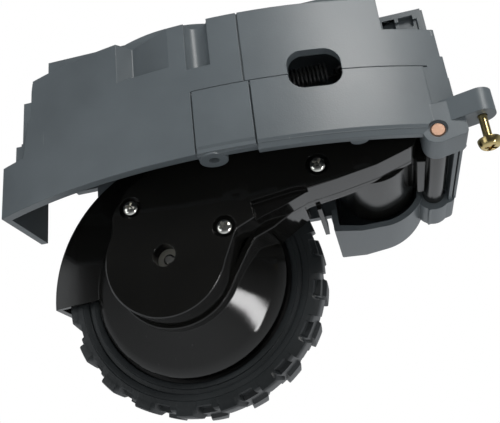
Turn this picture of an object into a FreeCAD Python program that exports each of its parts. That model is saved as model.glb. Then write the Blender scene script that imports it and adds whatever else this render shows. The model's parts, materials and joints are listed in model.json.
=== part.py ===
import FreeCAD, Part
import math
import os

# Drive-wheel module of a round floor-cleaning robot, right-hand side, wheel hanging at its lowest.
# All driving sizes are in millimetres. +Z is up, +X runs along the robot's side towards the pivot,
# +Y runs inboard. Sizes are first laid out from the wheel's axle and the gearbox cover's outer face,
# and every finished piece is then moved so that the origin is the seat of the outboard screw lug.

# Clearances and common walls
FIT = 0.05
SEAT_GAP = 0.02
RUN_GAP = 0.3
PLASTIC = 1.6
HOUSING_WALL = 2.4
# How far a cut or a blank runs past the piece that it shapes
REACH = 200.0

# Wheel and tyre
TYRE_R = 36.0
TYRE_NEAR_Y = 22.4
TYRE_WIDTH = 14.4
TYRE_SECTION = 8.6
TYRE_SHOULDER = 2.2
SIDEWALL_H = 3.6
BEAD_STEP = 0.5
LUG_COUNT = 19
LUG_DEPTH = 2.6
LUG_NOTCH_W = 3.4
LUG_NOTCH_Y = 4.6
LUG_NOTCH_LEAN = 1.5
FIRST_NOTCH_DEG = 7.8
TREAD_GROOVE_D = 0.9
TREAD_GROOVE_W = 1.6
RIM_WALL = 1.8
RIM_WEB = 2.0
RIM_WEB_Y = 6.2
HUB_R = 5.0
HUB_LEN = 9.0
SPOKE_COUNT = 6
SPOKE_HOLE_R = 4.2
SPOKE_HOLE_PCR = 16.0

# Wheel shaft and its retaining screw
SHAFT_R = 1.5
SHAFT_FRONT_Y = 5.0
WASHER_R = 3.4
WASHER_T = 0.6

# Gearbox cover
COVER_R = 15.4
COVER_DEPTH = 8.5
COVER_CREASE_X = 34.5
COVER_SLOPE_DROP = 1.5
AXLE_HOLE_R = 2.6
AXLE_BOSS_WALL = 1.1
AXLE_BOSS_LEN = 6.2
BOX_SCREW_AT = ((-8.2, 14.2), (15.5, 4.6), (40.0, 16.1))
BOX_SCREW_EAR_R = 3.9
BOX_SCREW_HEAD_R = 2.1
BOX_SCREW_HEAD_H = 1.4
BOX_SCREW_SHANK_R = 0.9
BOX_SCREW_LEN = 9.5
BOX_SCREW_RECESS_R = 2.8
BOX_SCREW_RECESS_D = 1.5
BOX_SCREW_POST_R = 2.0
LIP_DROP = 4.4
LIP_LEN = 10.0

# Black gearbox case with its shield disc and fender
CASE_R = 18.0
CASE_FLOOR_Y = 19.2
CASE_FLOOR_T = 1.6
CASE_DEEP_END_X = 39.6
CASE_FLANGE_T = 2.0
SHIELD_GAP = 0.4
SHIELD_T = 1.5
SHIELD_PROUD = 0.6
FENDER_GAP = 3.1
FENDER_FACE_Y = 20.0
FENDER_DEPTH = 10.0
FENDER_WALL = 1.5
FENDER_FROM_DEG = 96.0
FENDER_TO_DEG = 184.0

# Gear train, from the motor to the wheel: teeth of each pinion and wheel, and the module
GEAR_TEETH = ((10, 24), (10, 24), (10, 23), (10, 22), (11, 24))
GEAR_MODULES = (0.6, 0.7, 0.75, 0.8, 1.0)
STAGE_Y = ((6.1, 8.1), (3.3, 5.5), (8.8, 11.4), (11.8, 15.2), (2.4, 8.2))
LAST_GEAR_DEG = 62.0
TOOTH_SHARE = 0.40
TOOTH_TIP_SHARE = 0.19
ADDENDUM = 0.8
DEDENDUM = 1.15
GEAR_PIN_R = 0.8
GEAR_HUB_R = 2.6
GEAR_PIN_BOSS_R = 1.9
OUTPUT_WEB_T = 1.5
GEAR_ROOM = 0.8

# Motor
MOTOR_X = 53.5
MOTOR_Z = 24.5
MOTOR_R = 10.0
MOTOR_LEN = 26.0
MOTOR_NOSE_R = 3.0
MOTOR_NOSE_LEN = 1.6
MOTOR_CAP_LEN = 3.0
MOTOR_SHAFT_R = 1.0
MOTOR_SHAFT_TAIL = 5.0
ENCODER_R = 4.5
ENCODER_T = 1.6
BOARD_W = 15.0
BOARD_H = 12.0
BOARD_T = 1.0
SLEEVE_R = 11.6
SLEEVE_END_Y = 37.0
ARM_END_R = 12.2
SWING_GAP = 0.6
SWING_STEPS = 4

# Pivot
PIVOT_X = 68.9
PIVOT_Z = 17.0
PIN_R = 1.8
BARREL_R = 3.0
NEAR_EAR_Y0 = -4.2
NEAR_EAR_Y1 = 4.5
FAR_EAR_Y0 = 35.0
FAR_EAR_Y1 = 47.0
NEAR_EAR_R = 3.6
FAR_EAR_R = 4.7
PIN_RECESS_R = 2.2
PIN_RECESS_D = 0.7
WEB_Y0 = 7.0
WEB_Y1 = 30.0

# Curved outer wall of the housing: a vertical cylinder
WALL_R = 140.7
WALL_MID_X = 15.8
WALL_FACE_Y = -14.0
WALL_LEFT_X = -43.4
WALL_STEP_X = -35.7
WALL_TOP_LEFT_X = -32.8
WALL_RIGHT_X = 74.4
WALL_BOTTOM_Z = 17.6
WALL_STEP_Z = 32.4
WALL_TOP_Z = 55.0
WALL_CUT_X = 62.0
WALL_CUT_Z = 45.6
PANEL_C_X = 13.8
PANEL_D_X = 28.1
PANEL_TOP_Z = 34.6
PANEL_C_BOTTOM_Z = 17.2
PANEL_D_BOTTOM_Z = 16.4
PANEL_PROUD = 0.35
PANEL_LIP_H = 2.0
PANEL_LIP_IN = 1.1
SEAM_W = 0.4
SEAM_D = 0.5
UPPER_SEAM_X = 26.9
WINDOW_X = 37.3
WINDOW_W = 12.7
WINDOW_Z = 30.3
WINDOW_H = 10.7
WINDOW_CORNER = 3.9
NOTCH_X = -5.7
NOTCH_W = 14.0
NOTCH_DEEP_X = -2.3
NOTCH_DEPTH = 4.0
NOTCH_Z = 43.2
GROOVE_X = 16.2
GROOVE_R = 3.0
GROOVE_Z = 41.2
TAB_X = 17.1
TAB_R = 3.4
TAB_HOLE_R = 1.3
TAB_T = 1.8
TAB_IN = 3.5
SMALL_TAB_X = 51.0
SMALL_TAB_R = 2.2

# Wheel well behind the wall
RAISE_DEG = 30.0
WELL_GAP = 1.4
WELL_FRONT_Y = 18.0
MID_WELL_FRONT_Y = 7.0
INBOARD_GAP = 1.8
ROOF_Z = 59.1
ROOF_FRONT_Y = -1.0
ROOF_RIGHT_FRONT_Y = 12.4
WELL_STEP_Z = 42.0
WELL_STEP_Y = 5.0

# Motor bay with the cradle under the motor
BAY_LEFT_X = 39.0
BAY_NEAR_Y = 34.5
BAY_FAR_LEFT_Y = 60.0
BAY_FAR_RIGHT_Y = 51.0
BAY_TOP_Z = 50.0
CRADLE_R = 13.0
CRADLE_LEFT_Z = 12.6
CRADLE_T = 1.6

# Screw lugs and captive screws
LUG_R = 3.2
LUG_ROOT = (71.5, -0.6)
LUG_SCREW_AT = (79.2, -3.2)
LUG_BOTTOM_Z = 18.4
LUG_H = 5.8
INNER_LUG_LEFT = (-30.0, 44.6)
INNER_LUG_LEFT_Z = 44.0
INNER_LUG_RIGHT = (50.0, 60.4)
INNER_LUG_RIGHT_Z = 38.0
CAPTIVE_THREAD_R = 1.45
CAPTIVE_WAIST_R = 1.0
CAPTIVE_HEAD_R = 2.6
CAPTIVE_HEAD_H = 2.1
CAPTIVE_HANG = 6.2
CAPTIVE_THREAD_LEN = 5.2
CAPTIVE_LEDGE = 1.5
CAPTIVE_HOLE_R = 1.7

# Suspension spring and its two hooks
SPRING_R = 2.5
SPRING_WIRE = 0.7
SPRING_COILS = 24
HOOK_POST_R = 1.2
ARM_HOOK_X = 50.5
ARM_HOOK_Z = 40.4
ARM_HOOK_Y = -1.0
WALL_HOOK_X = 11.5
WALL_HOOK_Z = 38.8
WALL_HOOK_Y = -4.6
HOOK_LEN = 4.2

# Plug block on the roof
PLUG_X = 44.0
PLUG_Y = 26.0
PLUG_W = 16.0
PLUG_D = 7.0
PLUG_H = 6.0
PLUG_CONTACTS = 6
PLUG_PITCH = 2.0
PLUG_CONTACT_W = 0.8

# Places worked out from the sizes above
WHEEL_FAR_Y = TYRE_NEAR_Y + TYRE_WIDTH
TYRE_INNER_R = TYRE_R - TYRE_SECTION
SIDEWALL_R = TYRE_INNER_R + SIDEWALL_H
SHIELD_R = TYRE_INNER_R - SHIELD_GAP
FENDER_R = TYRE_R + FENDER_GAP
WELL_R = FENDER_R + WELL_GAP
MID_WELL_R = SHIELD_R
INBOARD_Y = WHEEL_FAR_Y + INBOARD_GAP
WALL_MID_Y = WALL_FACE_Y + WALL_R
WALL_INNER_R = WALL_R - HOUSING_WALL
RAISE = math.radians(RAISE_DEG)
RAISED_X = PIVOT_X - PIVOT_X * math.cos(RAISE) - PIVOT_Z * math.sin(RAISE)
RAISED_Z = PIVOT_Z + PIVOT_X * math.sin(RAISE) - PIVOT_Z * math.cos(RAISE)
FLANGE_BACK_Y = COVER_DEPTH + CASE_FLANGE_T
LUG_TOP_Z = LUG_BOTTOM_Z + LUG_H
ORIGIN_X = (LUG_ROOT[0] + LUG_SCREW_AT[0]) / 2
ORIGIN_Y = (LUG_ROOT[1] + LUG_SCREW_AT[1]) / 2


def vec(x, y, z):
    return FreeCAD.Vector(x, y, z)


def box(x0, x1, y0, y1, z0, z1):
    return Part.makeBox(x1 - x0, y1 - y0, z1 - z0, vec(x0, y0, z0))


def rod_y(x, z, y0, y1, radius):
    return Part.makeCylinder(radius, y1 - y0, vec(x, y0, z), vec(0, 1, 0))


def rod_z(x, y, z0, z1, radius):
    return Part.makeCylinder(radius, z1 - z0, vec(x, y, z0), vec(0, 0, 1))


def rod_between(start, end, radius):
    way = end.sub(start)
    return Part.makeCylinder(radius, way.Length, start, way)


def fused(shapes):
    whole = shapes[0]
    for shape in shapes[1:]:
        whole = whole.fuse(shape)
    return whole.removeSplitter()


def cut_all(shape, tools):
    for tool in tools:
        shape = shape.cut(tool)
    return shape


def rounded_wire(corners):
    """Closed flat outline: each corner is (point, radius), straight between tangent arcs."""
    count = len(corners)
    stretches = []
    for index in range(count):
        point, radius = corners[index]
        if radius == 0:
            stretches.append((point, point, point, radius))
            continue
        before = corners[index - 1][0].sub(point).normalize()
        after = corners[(index + 1) % count][0].sub(point).normalize()
        half = before.getAngle(after) / 2
        reach = radius / math.tan(half)
        middle = before.add(after).normalize()
        centre = point.add(middle.multiply(radius / math.sin(half)))
        start = point.add(before.multiply(reach))
        end = point.add(after.multiply(reach))
        top = centre.add(point.sub(centre).normalize().multiply(radius))
        stretches.append((start, top, end, radius))
    edges = []
    for index in range(count):
        start, top, end, radius = stretches[index]
        if radius > 0:
            edges.append(Part.Arc(start, top, end).toShape())
        following = stretches[(index + 1) % count][0]
        if end.distanceToPoint(following) > 1e-6:
            edges.append(Part.LineSegment(end, following).toShape())
    return Part.Wire(edges)


def prism_y(corners, y0, y1):
    """Solid from an outline of (x, z, corner radius) in the XZ plane, run from y0 to y1."""
    wire = rounded_wire([(vec(x, y0, z), radius) for x, z, radius in corners])
    return Part.Face(wire).extrude(vec(0, y1 - y0, 0))


def prism_z(corners, z0, z1):
    """Solid from an outline of (x, y, corner radius) in plan, run from z0 to z1."""
    wire = rounded_wire([(vec(x, y, z0), radius) for x, y, radius in corners])
    return Part.Face(wire).extrude(vec(0, 0, z1 - z0))


def revolve_y(points, x=0.0, z=0.0):
    """Solid of revolution about the Y line at (x, z): points are (radius, y)."""
    path = [vec(x + radius, y, z) for radius, y in points]
    face = Part.Face(Part.makePolygon(path + [path[0]]))
    return face.revolve(vec(x, 0, z), vec(0, 1, 0), 360)


def revolve_z(points, x, y):
    """Solid of revolution about the Z line at (x, y): points are (radius, z)."""
    path = [vec(x + radius, y, z) for radius, z in points]
    face = Part.Face(Part.makePolygon(path + [path[0]]))
    return face.revolve(vec(x, y, 0), vec(0, 0, 1), 360)


def polar(radius, angle):
    return radius * math.cos(angle), radius * math.sin(angle)


def export(name, shape):
    """Every piece leaves in the shared frame, whose origin is the outboard lug's seat."""
    moved = shape.copy()
    moved.translate(vec(-ORIGIN_X, -ORIGIN_Y, -LUG_TOP_Z))
    moved.exportStep("parts/" + name + ".step")


# The gear train's axles lie on one circular arc from the last gear to the motor

def gear_distance(stage):
    pinion, wheel = GEAR_TEETH[stage]
    return GEAR_MODULES[stage] * (pinion + wheel) / 2


def arc_radius(chords, span):
    """Radius of the arc on which the given chords, end to end, cover the span."""
    low = span / 2
    high = span * 100
    for _ in range(80):
        radius = (low + high) / 2
        turned = sum(2 * math.asin(min(1.0, chord / (2 * radius))) for chord in chords)
        if turned > 2 * math.asin(min(1.0, span / (2 * radius))):
            high = radius
        else:
            low = radius
    return radius


def gear_axes():
    """XZ places of the five toothed shafts, motor first and wheel last."""
    last_x, last_z = polar(gear_distance(4), math.radians(LAST_GEAR_DEG))
    chords = [gear_distance(stage) for stage in (3, 2, 1, 0)]
    span = math.hypot(MOTOR_X - last_x, MOTOR_Z - last_z)
    heading = math.atan2(MOTOR_Z - last_z, MOTOR_X - last_x)
    radius = arc_radius(chords, span)
    turned = heading + math.asin(span / (2 * radius))
    places = [(last_x, last_z)]
    for chord in chords:
        step = 2 * math.asin(chord / (2 * radius))
        turned -= step / 2
        x, z = places[-1]
        places.append((x + chord * math.cos(turned), z + chord * math.sin(turned)))
        turned -= step / 2
    places[-1] = (MOTOR_X, MOTOR_Z)
    return places[::-1] + [(0.0, 0.0)]


AXES = gear_axes()


def toothed(stage, is_wheel, y0, y1):
    """Spur teeth of one side of a stage, turned so that the pair is in mesh at rest."""
    teeth = GEAR_TEETH[stage][1] if is_wheel else GEAR_TEETH[stage][0]
    module = GEAR_MODULES[stage]
    here = AXES[stage + 1] if is_wheel else AXES[stage]
    other = AXES[stage] if is_wheel else AXES[stage + 1]
    towards = math.atan2(other[1] - here[1], other[0] - here[0])
    pitch = 2 * math.pi / teeth
    offset = pitch / 2 if is_wheel else 0.0
    pitch_r = module * teeth / 2
    tip_r = pitch_r + ADDENDUM * module
    root_r = pitch_r - DEDENDUM * module
    root_half = pitch * TOOTH_SHARE * 0.75
    tip_half = pitch * TOOTH_TIP_SHARE / 2 * pitch_r / tip_r
    points = []
    for tooth in range(teeth):
        angle = towards + offset + tooth * pitch
        for radius, shift in ((root_r, -root_half), (tip_r, -tip_half), (tip_r, tip_half), (root_r, root_half)):
            x, z = polar(radius, angle + shift)
            points.append(vec(here[0] + x, y0, here[1] + z))
    face = Part.Face(Part.makePolygon(points + [points[0]]))
    return face.extrude(vec(0, y1 - y0, 0))


def compound_gear(stage):
    """Wheel of one stage and pinion of the next on one hub, bored for its pin."""
    x, z = AXES[stage + 1]
    wheel = toothed(stage, True, *STAGE_Y[stage])
    pinion = toothed(stage + 1, False, *STAGE_Y[stage + 1])
    low = min(STAGE_Y[stage][0], STAGE_Y[stage + 1][0])
    high = max(STAGE_Y[stage][1], STAGE_Y[stage + 1][1])
    hub_r = min(GEAR_HUB_R, GEAR_MODULES[stage + 1] * 4)
    hub = rod_y(x, z, low, high, hub_r)
    return fused([hub, wheel, pinion]).cut(rod_y(x, z, low - 1, high + 1, GEAR_PIN_R + FIT))


def output_gear():
    """Dished last gear, keyed on the wheel's shaft behind the cover's bearing boss."""
    y0, y1 = STAGE_Y[4]
    gear = toothed(4, True, y0, y1)
    rim_r = GEAR_MODULES[4] * (GEAR_TEETH[4][1] / 2 - DEDENDUM) - PLASTIC
    hollow = rod_y(0, 0, y0 - 1, y1 - OUTPUT_WEB_T, rim_r)
    hub = rod_y(0, 0, y1 - OUTPUT_WEB_T, y1 + PLASTIC, GEAR_HUB_R + 1)
    return fused([gear.cut(hollow), hub]).cut(rod_y(0, 0, y0 - 1, y1 + 4, SHAFT_R + SEAT_GAP))


def motor_pinion():
    y0, y1 = STAGE_Y[0]
    pinion = toothed(0, False, y0, y1)
    return pinion.cut(rod_y(MOTOR_X, MOTOR_Z, y0 - 1, y1 + 1, MOTOR_SHAFT_R + SEAT_GAP))


# Outlines of the gearbox in the XZ plane

def gear_wall_r(stage):
    """Outside radius of the gearbox's wall round the wheel of one stage."""
    teeth = GEAR_TEETH[stage][1]
    module = GEAR_MODULES[stage]
    return module * (teeth / 2 + ADDENDUM) + GEAR_ROOM + PLASTIC


def gear_rooms(stages, y0, y1, inset):
    rooms = []
    for stage in stages:
        x, z = AXES[stage + 1]
        rooms.append(rod_y(x, z, y0, y1, gear_wall_r(stage) - inset))
    return rooms


def arm_corners(inset=0.0):
    """Neck of the gearbox from the wheel to round the motor, over the gears' tips."""
    b_x, b_z = AXES[2]
    c_x, c_z = AXES[3]
    d_x, d_z = AXES[4]
    right = MOTOR_X + ARM_END_R - inset
    top = MOTOR_Z + ARM_END_R - inset
    gear_b_top = b_z + gear_wall_r(1) - inset
    gear_c_top = c_z + gear_wall_r(2) - inset
    gear_d_top = d_z + gear_wall_r(3) - inset
    return [
        (6.0, -6.0 + inset, 0.0),
        (14.6 - inset, -4.8 + inset, 1.0),
        (18.6 - inset, 4.4 + inset, 1.5),
        (24.0 - inset / 2, 6.6 + inset, 1.5),
        (34.2 - inset / 2, 11.6 + inset, 3.0),
        (52.0, 15.2 + inset, 20.0),
        (61.6 - inset / 2, 16.4 + inset, 3.0),
        (right, 21.8 + inset / 2, 3.0),
        (right, top, ARM_END_R - 0.6 - inset),
        (b_x + 6.0, max(top, gear_b_top), 12.0),
        (c_x - 1.0, gear_c_top, 10.0),
        (d_x - 4.0 + inset, gear_d_top, 6.0),
        (-7.0 + inset, 12.0, 0.0)]


def cover_block(y0, y1, inset):
    """Disc round the axle, neck to the motor and the ears of two screws, as one plain block."""
    pieces = [rod_y(0, 0, y0, y1, COVER_R - inset), prism_y(arm_corners(inset), y0, y1)]
    pieces += gear_rooms((0, 1), y0, y1, inset)
    if inset == 0:
        for x, z in BOX_SCREW_AT[:2]:
            pieces.append(rod_y(x, z, y0, y1, BOX_SCREW_EAR_R))
    return fused(pieces)


def slope_cut():
    """The cover's face falls back slightly right of a crease, to clear the housing's wall."""
    run = MOTOR_X + SLEEVE_R + 4 - COVER_CREASE_X
    face = Part.Face(Part.makePolygon([
        vec(COVER_CREASE_X, 0, 0), vec(COVER_CREASE_X + run, COVER_SLOPE_DROP, 0),
        vec(COVER_CREASE_X + run, -3, 0), vec(COVER_CREASE_X, -3, 0), vec(COVER_CREASE_X, 0, 0)]))
    wedge = face.extrude(vec(0, 0, 60))
    wedge.rotate(vec(COVER_CREASE_X, 0, 14), vec(0, 1, 0), -25)
    return wedge


def cover_lip():
    """Scooped lip that hangs from the cover's lower edge beside the wheel."""
    x0 = 23.6
    z0 = 5.2
    return prism_y([
        (x0, z0, 0.5), (x0 + 0.6 * LIP_LEN, z0 + 1.0, 3.0), (x0 + LIP_LEN, z0 + LIP_DROP + 0.6, 0.4),
        (x0 + LIP_LEN, z0 + LIP_DROP + 3.0, 0.4), (x0, z0 + 3.0, 0.4)], PLASTIC, COVER_DEPTH)


def gearbox_cover():
    body = cover_block(0, COVER_DEPTH, 0)
    hollow = cover_block(PLASTIC, COVER_DEPTH + 1, PLASTIC)
    lip = cover_lip()
    hook_ear = arm_hook_ear()
    cover = fused([body.cut(hollow), lip, hook_ear])
    boss = rod_y(0, 0, PLASTIC / 2, AXLE_BOSS_LEN, AXLE_HOLE_R + AXLE_BOSS_WALL)
    posts = [rod_y(x, z, PLASTIC / 2, COVER_DEPTH, BOX_SCREW_POST_R) for x, z in BOX_SCREW_AT]
    sockets = [rod_y(x, z, PLASTIC / 2, STAGE_PIN_FRONT[i], GEAR_PIN_BOSS_R) for i, (x, z) in enumerate(AXES[1:5])]
    cover = fused([cover, boss] + posts + sockets)
    cover = cover.cut(slope_cut())
    cover = cover.cut(rod_y(0, 0, -1, SHAFT_FRONT_Y - 0.2, AXLE_HOLE_R))
    cover = cover.cut(rod_y(0, 0, -1, AXLE_BOSS_LEN + 1, SHAFT_R + FIT))
    for x, z in BOX_SCREW_AT:
        cover = cover.cut(rod_y(x, z, -1, BOX_SCREW_RECESS_D, BOX_SCREW_RECESS_R))
        cover = cover.cut(rod_y(x, z, -1, COVER_DEPTH + 1, BOX_SCREW_SHANK_R + FIT))
    for index, (x, z) in enumerate(AXES[1:5]):
        cover = cover.cut(rod_y(x, z, STAGE_PIN_FRONT[index] - 1.2, COVER_DEPTH, GEAR_PIN_R + SEAT_GAP))
    return cover


# Front and back of each gear pin: they end in the cover's and the case's bosses
STAGE_PIN_FRONT = tuple(
    min(STAGE_Y[stage][0], STAGE_Y[stage + 1][0]) - RUN_GAP for stage in range(4))
STAGE_PIN_BACK = (COVER_DEPTH, CASE_FLOOR_Y, CASE_FLOOR_Y, CASE_FLOOR_Y)


def gear_pins():
    pins = []
    for index, (x, z) in enumerate(AXES[1:5]):
        pins.append(rod_y(x, z, STAGE_PIN_FRONT[index] - 1.1, STAGE_PIN_BACK[index] + 1.0, GEAR_PIN_R))
    return Part.makeCompound(pins)


def arm_hook_ear():
    """Ear above the motor that carries the post for the spring's loop."""
    plate = prism_y([
        (ARM_HOOK_X - 7, MOTOR_Z + SLEEVE_R - 2, 0.0), (ARM_HOOK_X + 7, MOTOR_Z + SLEEVE_R - 2, 0.0),
        (ARM_HOOK_X + 2.6, ARM_HOOK_Z + 2.4, 2.0), (ARM_HOOK_X - 2.6, ARM_HOOK_Z + 2.4, 2.0)], 1.5, 4.5)
    post = rod_y(ARM_HOOK_X, ARM_HOOK_Z, ARM_HOOK_Y - 0.8, 2.0, HOOK_POST_R)
    return fused([plate, post])


def case_corners(inset=0.0):
    """Deep part of the black case: wider than the cover below, with a shoulder beside the neck."""
    d_x, d_z = AXES[4]
    c_x, c_z = AXES[3]
    gear_c_top = c_z + gear_wall_r(2) - inset
    gear_d_top = d_z + gear_wall_r(3) - inset
    return [
        (8.0, -12.0 + inset, 0.0),
        (13.6 - inset / 2, -11.2 + inset, 2.0),
        (20.6, -1.6 + inset, 4.0),
        (29.5, 0.9 + inset, 3.0),
        (37.6 - inset, 11.2, 2.0),
        (CASE_DEEP_END_X - inset, 15.0, 1.0),
        (CASE_DEEP_END_X - inset, AXES[2][1] + 6.5 - inset, 2.0),
        (c_x - 1.0, gear_c_top, 10.0),
        (d_x - 4.0 + inset, gear_d_top, 6.0),
        (-9.0 + inset, 12.0, 0.0)]


def case_block(y0, y1, inset):
    pieces = [rod_y(0, 0, y0, y1, CASE_R - inset), prism_y(case_corners(inset), y0, y1)]
    pieces += gear_rooms((2, 3), y0, y1, inset)
    if inset == 0:
        x, z = BOX_SCREW_AT[0]
        pieces.append(rod_y(x, z, y0, y1, BOX_SCREW_EAR_R))
    return fused(pieces)


def fender():
    """Sickle over the tyre: a face in front of it and a rim across its tread."""
    back = FENDER_FACE_Y + FENDER_DEPTH
    drum = rod_y(0, 0, FENDER_FACE_Y, back, FENDER_R)
    hollow = rod_y(0, 0, FENDER_FACE_Y + FENDER_WALL, back + 1, FENDER_R - FENDER_WALL)
    shell = drum.cut(hollow).cut(rod_y(0, 0, FENDER_FACE_Y - 1, back, COVER_R))
    reach = 2 * FENDER_R
    start = math.radians(FENDER_FROM_DEG)
    end = math.radians(FENDER_TO_DEG)
    middle = (start + end) / 2
    corners = [(0.0, 0.0)] + [polar(reach, angle) for angle in (start, middle, end)]
    return shell.common(prism_y([(x, z, 0.0) for x, z in corners], FENDER_FACE_Y, back))


def gearbox_case():
    deep_back = CASE_FLOOR_Y + CASE_FLOOR_T
    deep = case_block(COVER_DEPTH, deep_back, 0).cut(case_block(COVER_DEPTH - 1, CASE_FLOOR_Y, PLASTIC))
    flange = prism_y(arm_corners(), COVER_DEPTH, FLANGE_BACK_Y)
    flange = flange.cut(box(-REACH, CASE_DEEP_END_X - PLASTIC, 0, REACH, -REACH, REACH))
    shield = rod_y(0, 0, deep_back - SHIELD_T + SHIELD_PROUD, deep_back + SHIELD_PROUD, SHIELD_R)
    shield = shield.cut(rod_y(0, 0, 0, CASE_FLOOR_Y, SHIELD_R))
    posts = [rod_y(x, z, COVER_DEPTH, deep_back, BOX_SCREW_POST_R) for x, z in BOX_SCREW_AT[:2]]
    sockets = [rod_y(x, z, back, deep_back, GEAR_PIN_BOSS_R)
               for (x, z), back in zip(AXES[2:5], (12.0, 15.6, 15.6))]
    case = fused([deep, flange, shield, fender()] + posts + sockets)
    case = case.cut(rod_y(0, 0, 0, deep_back + 2, SHAFT_R + FIT))
    case = case.cut(rod_y(MOTOR_X, MOTOR_Z, 0, FLANGE_BACK_Y + 1, MOTOR_NOSE_R + FIT))
    for x, z in BOX_SCREW_AT:
        case = case.cut(rod_y(x, z, 0, BOX_SCREW_RECESS_D + BOX_SCREW_LEN, BOX_SCREW_SHANK_R + SEAT_GAP))
    for index, (x, z) in enumerate(AXES[1:5]):
        case = case.cut(rod_y(x, z, 0, STAGE_PIN_BACK[index] + 1.1, GEAR_PIN_R + SEAT_GAP))
    return case


def motor_carrier():
    """Grey sleeve round the motor, with the barrel that swings on the pivot pin."""
    sleeve = rod_y(MOTOR_X, MOTOR_Z, FLANGE_BACK_Y, SLEEVE_END_Y, SLEEVE_R)
    barrel = rod_y(PIVOT_X, PIVOT_Z, NEAR_EAR_Y1 + RUN_GAP, FAR_EAR_Y0 - RUN_GAP, BARREL_R)
    web = prism_y([
        (MOTOR_X + 5, MOTOR_Z + 8, 0.0), (PIVOT_X + 0.8, PIVOT_Z + 2.6, 0.8),
        (PIVOT_X - 1.0, PIVOT_Z - 1.2, 0.4), (PIVOT_X - 4.8, PIVOT_Z - 0.6, 0.4)], FLANGE_BACK_Y, WEB_Y1)
    pad_x, pad_z = BOX_SCREW_AT[2]
    pad = prism_y([
        (pad_x - 3.2, pad_z - 1.8, 1.0), (MOTOR_X - 4, pad_z - 2.4, 0.0),
        (MOTOR_X - 4, pad_z + 6, 0.0), (pad_x - 0.2, pad_z + 5.0, 2.0)],
        FLANGE_BACK_Y, FLANGE_BACK_Y + 4)
    carrier = fused([sleeve, barrel, web, pad])
    carrier = carrier.cut(rod_y(MOTOR_X, MOTOR_Z, 0, SLEEVE_END_Y + 1, MOTOR_R + FIT))
    carrier = carrier.cut(rod_y(PIVOT_X, PIVOT_Z, 0, FAR_EAR_Y1, PIN_R + FIT))
    carrier = carrier.cut(box(CASE_DEEP_END_X - 9, CASE_DEEP_END_X + RUN_GAP, 0, CASE_FLOOR_Y + 3, 0, 60))
    return carrier.cut(rod_y(pad_x, pad_z, 0, FLANGE_BACK_Y + 5, BOX_SCREW_SHANK_R + SEAT_GAP))


def cross_recess(x, z, y, size, depth):
    """Two crossed slots of a screw head that faces outboard."""
    wide = box(x - size, x + size, y - 1, y + depth, z - size / 4, z + size / 4)
    tall = box(x - size / 4, x + size / 4, y - 1, y + depth, z - size, z + size)
    return fused([wide, tall])


def gearbox_screws():
    screws = []
    for x, z in BOX_SCREW_AT:
        face = BOX_SCREW_RECESS_D - BOX_SCREW_HEAD_H
        if x > COVER_CREASE_X:
            face += 0.1
        head = revolve_y([
            (0, face), (BOX_SCREW_HEAD_R * 0.6, face), (BOX_SCREW_HEAD_R * 0.9, face + 0.4),
            (BOX_SCREW_HEAD_R, BOX_SCREW_RECESS_D), (BOX_SCREW_SHANK_R, BOX_SCREW_RECESS_D),
            (BOX_SCREW_SHANK_R, BOX_SCREW_RECESS_D + BOX_SCREW_LEN - 0.4), (0, BOX_SCREW_RECESS_D + BOX_SCREW_LEN - 0.2)],
            x, z)
        screws.append(head.cut(cross_recess(x, z, face, BOX_SCREW_HEAD_R * 0.6, 0.7)))
    return Part.makeCompound(screws)


# Motor

def motor_can():
    back = FLANGE_BACK_Y + MOTOR_LEN
    can = rod_y(MOTOR_X, MOTOR_Z, FLANGE_BACK_Y, back, MOTOR_R)
    nose = rod_y(MOTOR_X, MOTOR_Z, FLANGE_BACK_Y - MOTOR_NOSE_LEN, FLANGE_BACK_Y, MOTOR_NOSE_R)
    return fused([can, nose]).cut(rod_y(MOTOR_X, MOTOR_Z, 0, back + 1, MOTOR_SHAFT_R + FIT))


def motor_end_cap():
    front = FLANGE_BACK_Y + MOTOR_LEN
    cap = rod_y(MOTOR_X, MOTOR_Z, front, front + MOTOR_CAP_LEN - 1, MOTOR_R - 0.8)
    boss = rod_y(MOTOR_X, MOTOR_Z, front, front + MOTOR_CAP_LEN, MOTOR_NOSE_R)
    posts = [rod_y(MOTOR_X + side * 6.2, MOTOR_Z, front, MOTOR_BOARD_Y, 1.2) for side in (-1, 1)]
    return fused([cap, boss] + posts).cut(rod_y(MOTOR_X, MOTOR_Z, 0, front + 9, MOTOR_SHAFT_R + FIT))


MOTOR_TAIL_Y = FLANGE_BACK_Y + MOTOR_LEN + MOTOR_CAP_LEN + MOTOR_SHAFT_TAIL
MOTOR_BOARD_Y = MOTOR_TAIL_Y + RUN_GAP


def motor_shaft():
    return rod_y(MOTOR_X, MOTOR_Z, STAGE_Y[0][0] - 0.6, MOTOR_TAIL_Y, MOTOR_SHAFT_R)


def encoder_disc():
    back = MOTOR_TAIL_Y - 0.4
    disc = rod_y(MOTOR_X, MOTOR_Z, back - ENCODER_T, back, ENCODER_R)
    collar = rod_y(MOTOR_X, MOTOR_Z, back - ENCODER_T - 1.4, back, 2.0)
    return fused([disc, collar]).cut(rod_y(MOTOR_X, MOTOR_Z, 0, back + 1, MOTOR_SHAFT_R + SEAT_GAP))


def encoder_board():
    y = MOTOR_BOARD_Y
    return prism_y([
        (MOTOR_X - BOARD_W / 2, MOTOR_Z - BOARD_H / 2, 1.5), (MOTOR_X + BOARD_W / 2, MOTOR_Z - BOARD_H / 2, 1.5),
        (MOTOR_X + BOARD_W / 2, MOTOR_Z + BOARD_H / 2, 1.5), (MOTOR_X - BOARD_W / 2, MOTOR_Z + BOARD_H / 2, 1.5)],
        y, y + BOARD_T)


# Wheel

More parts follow.
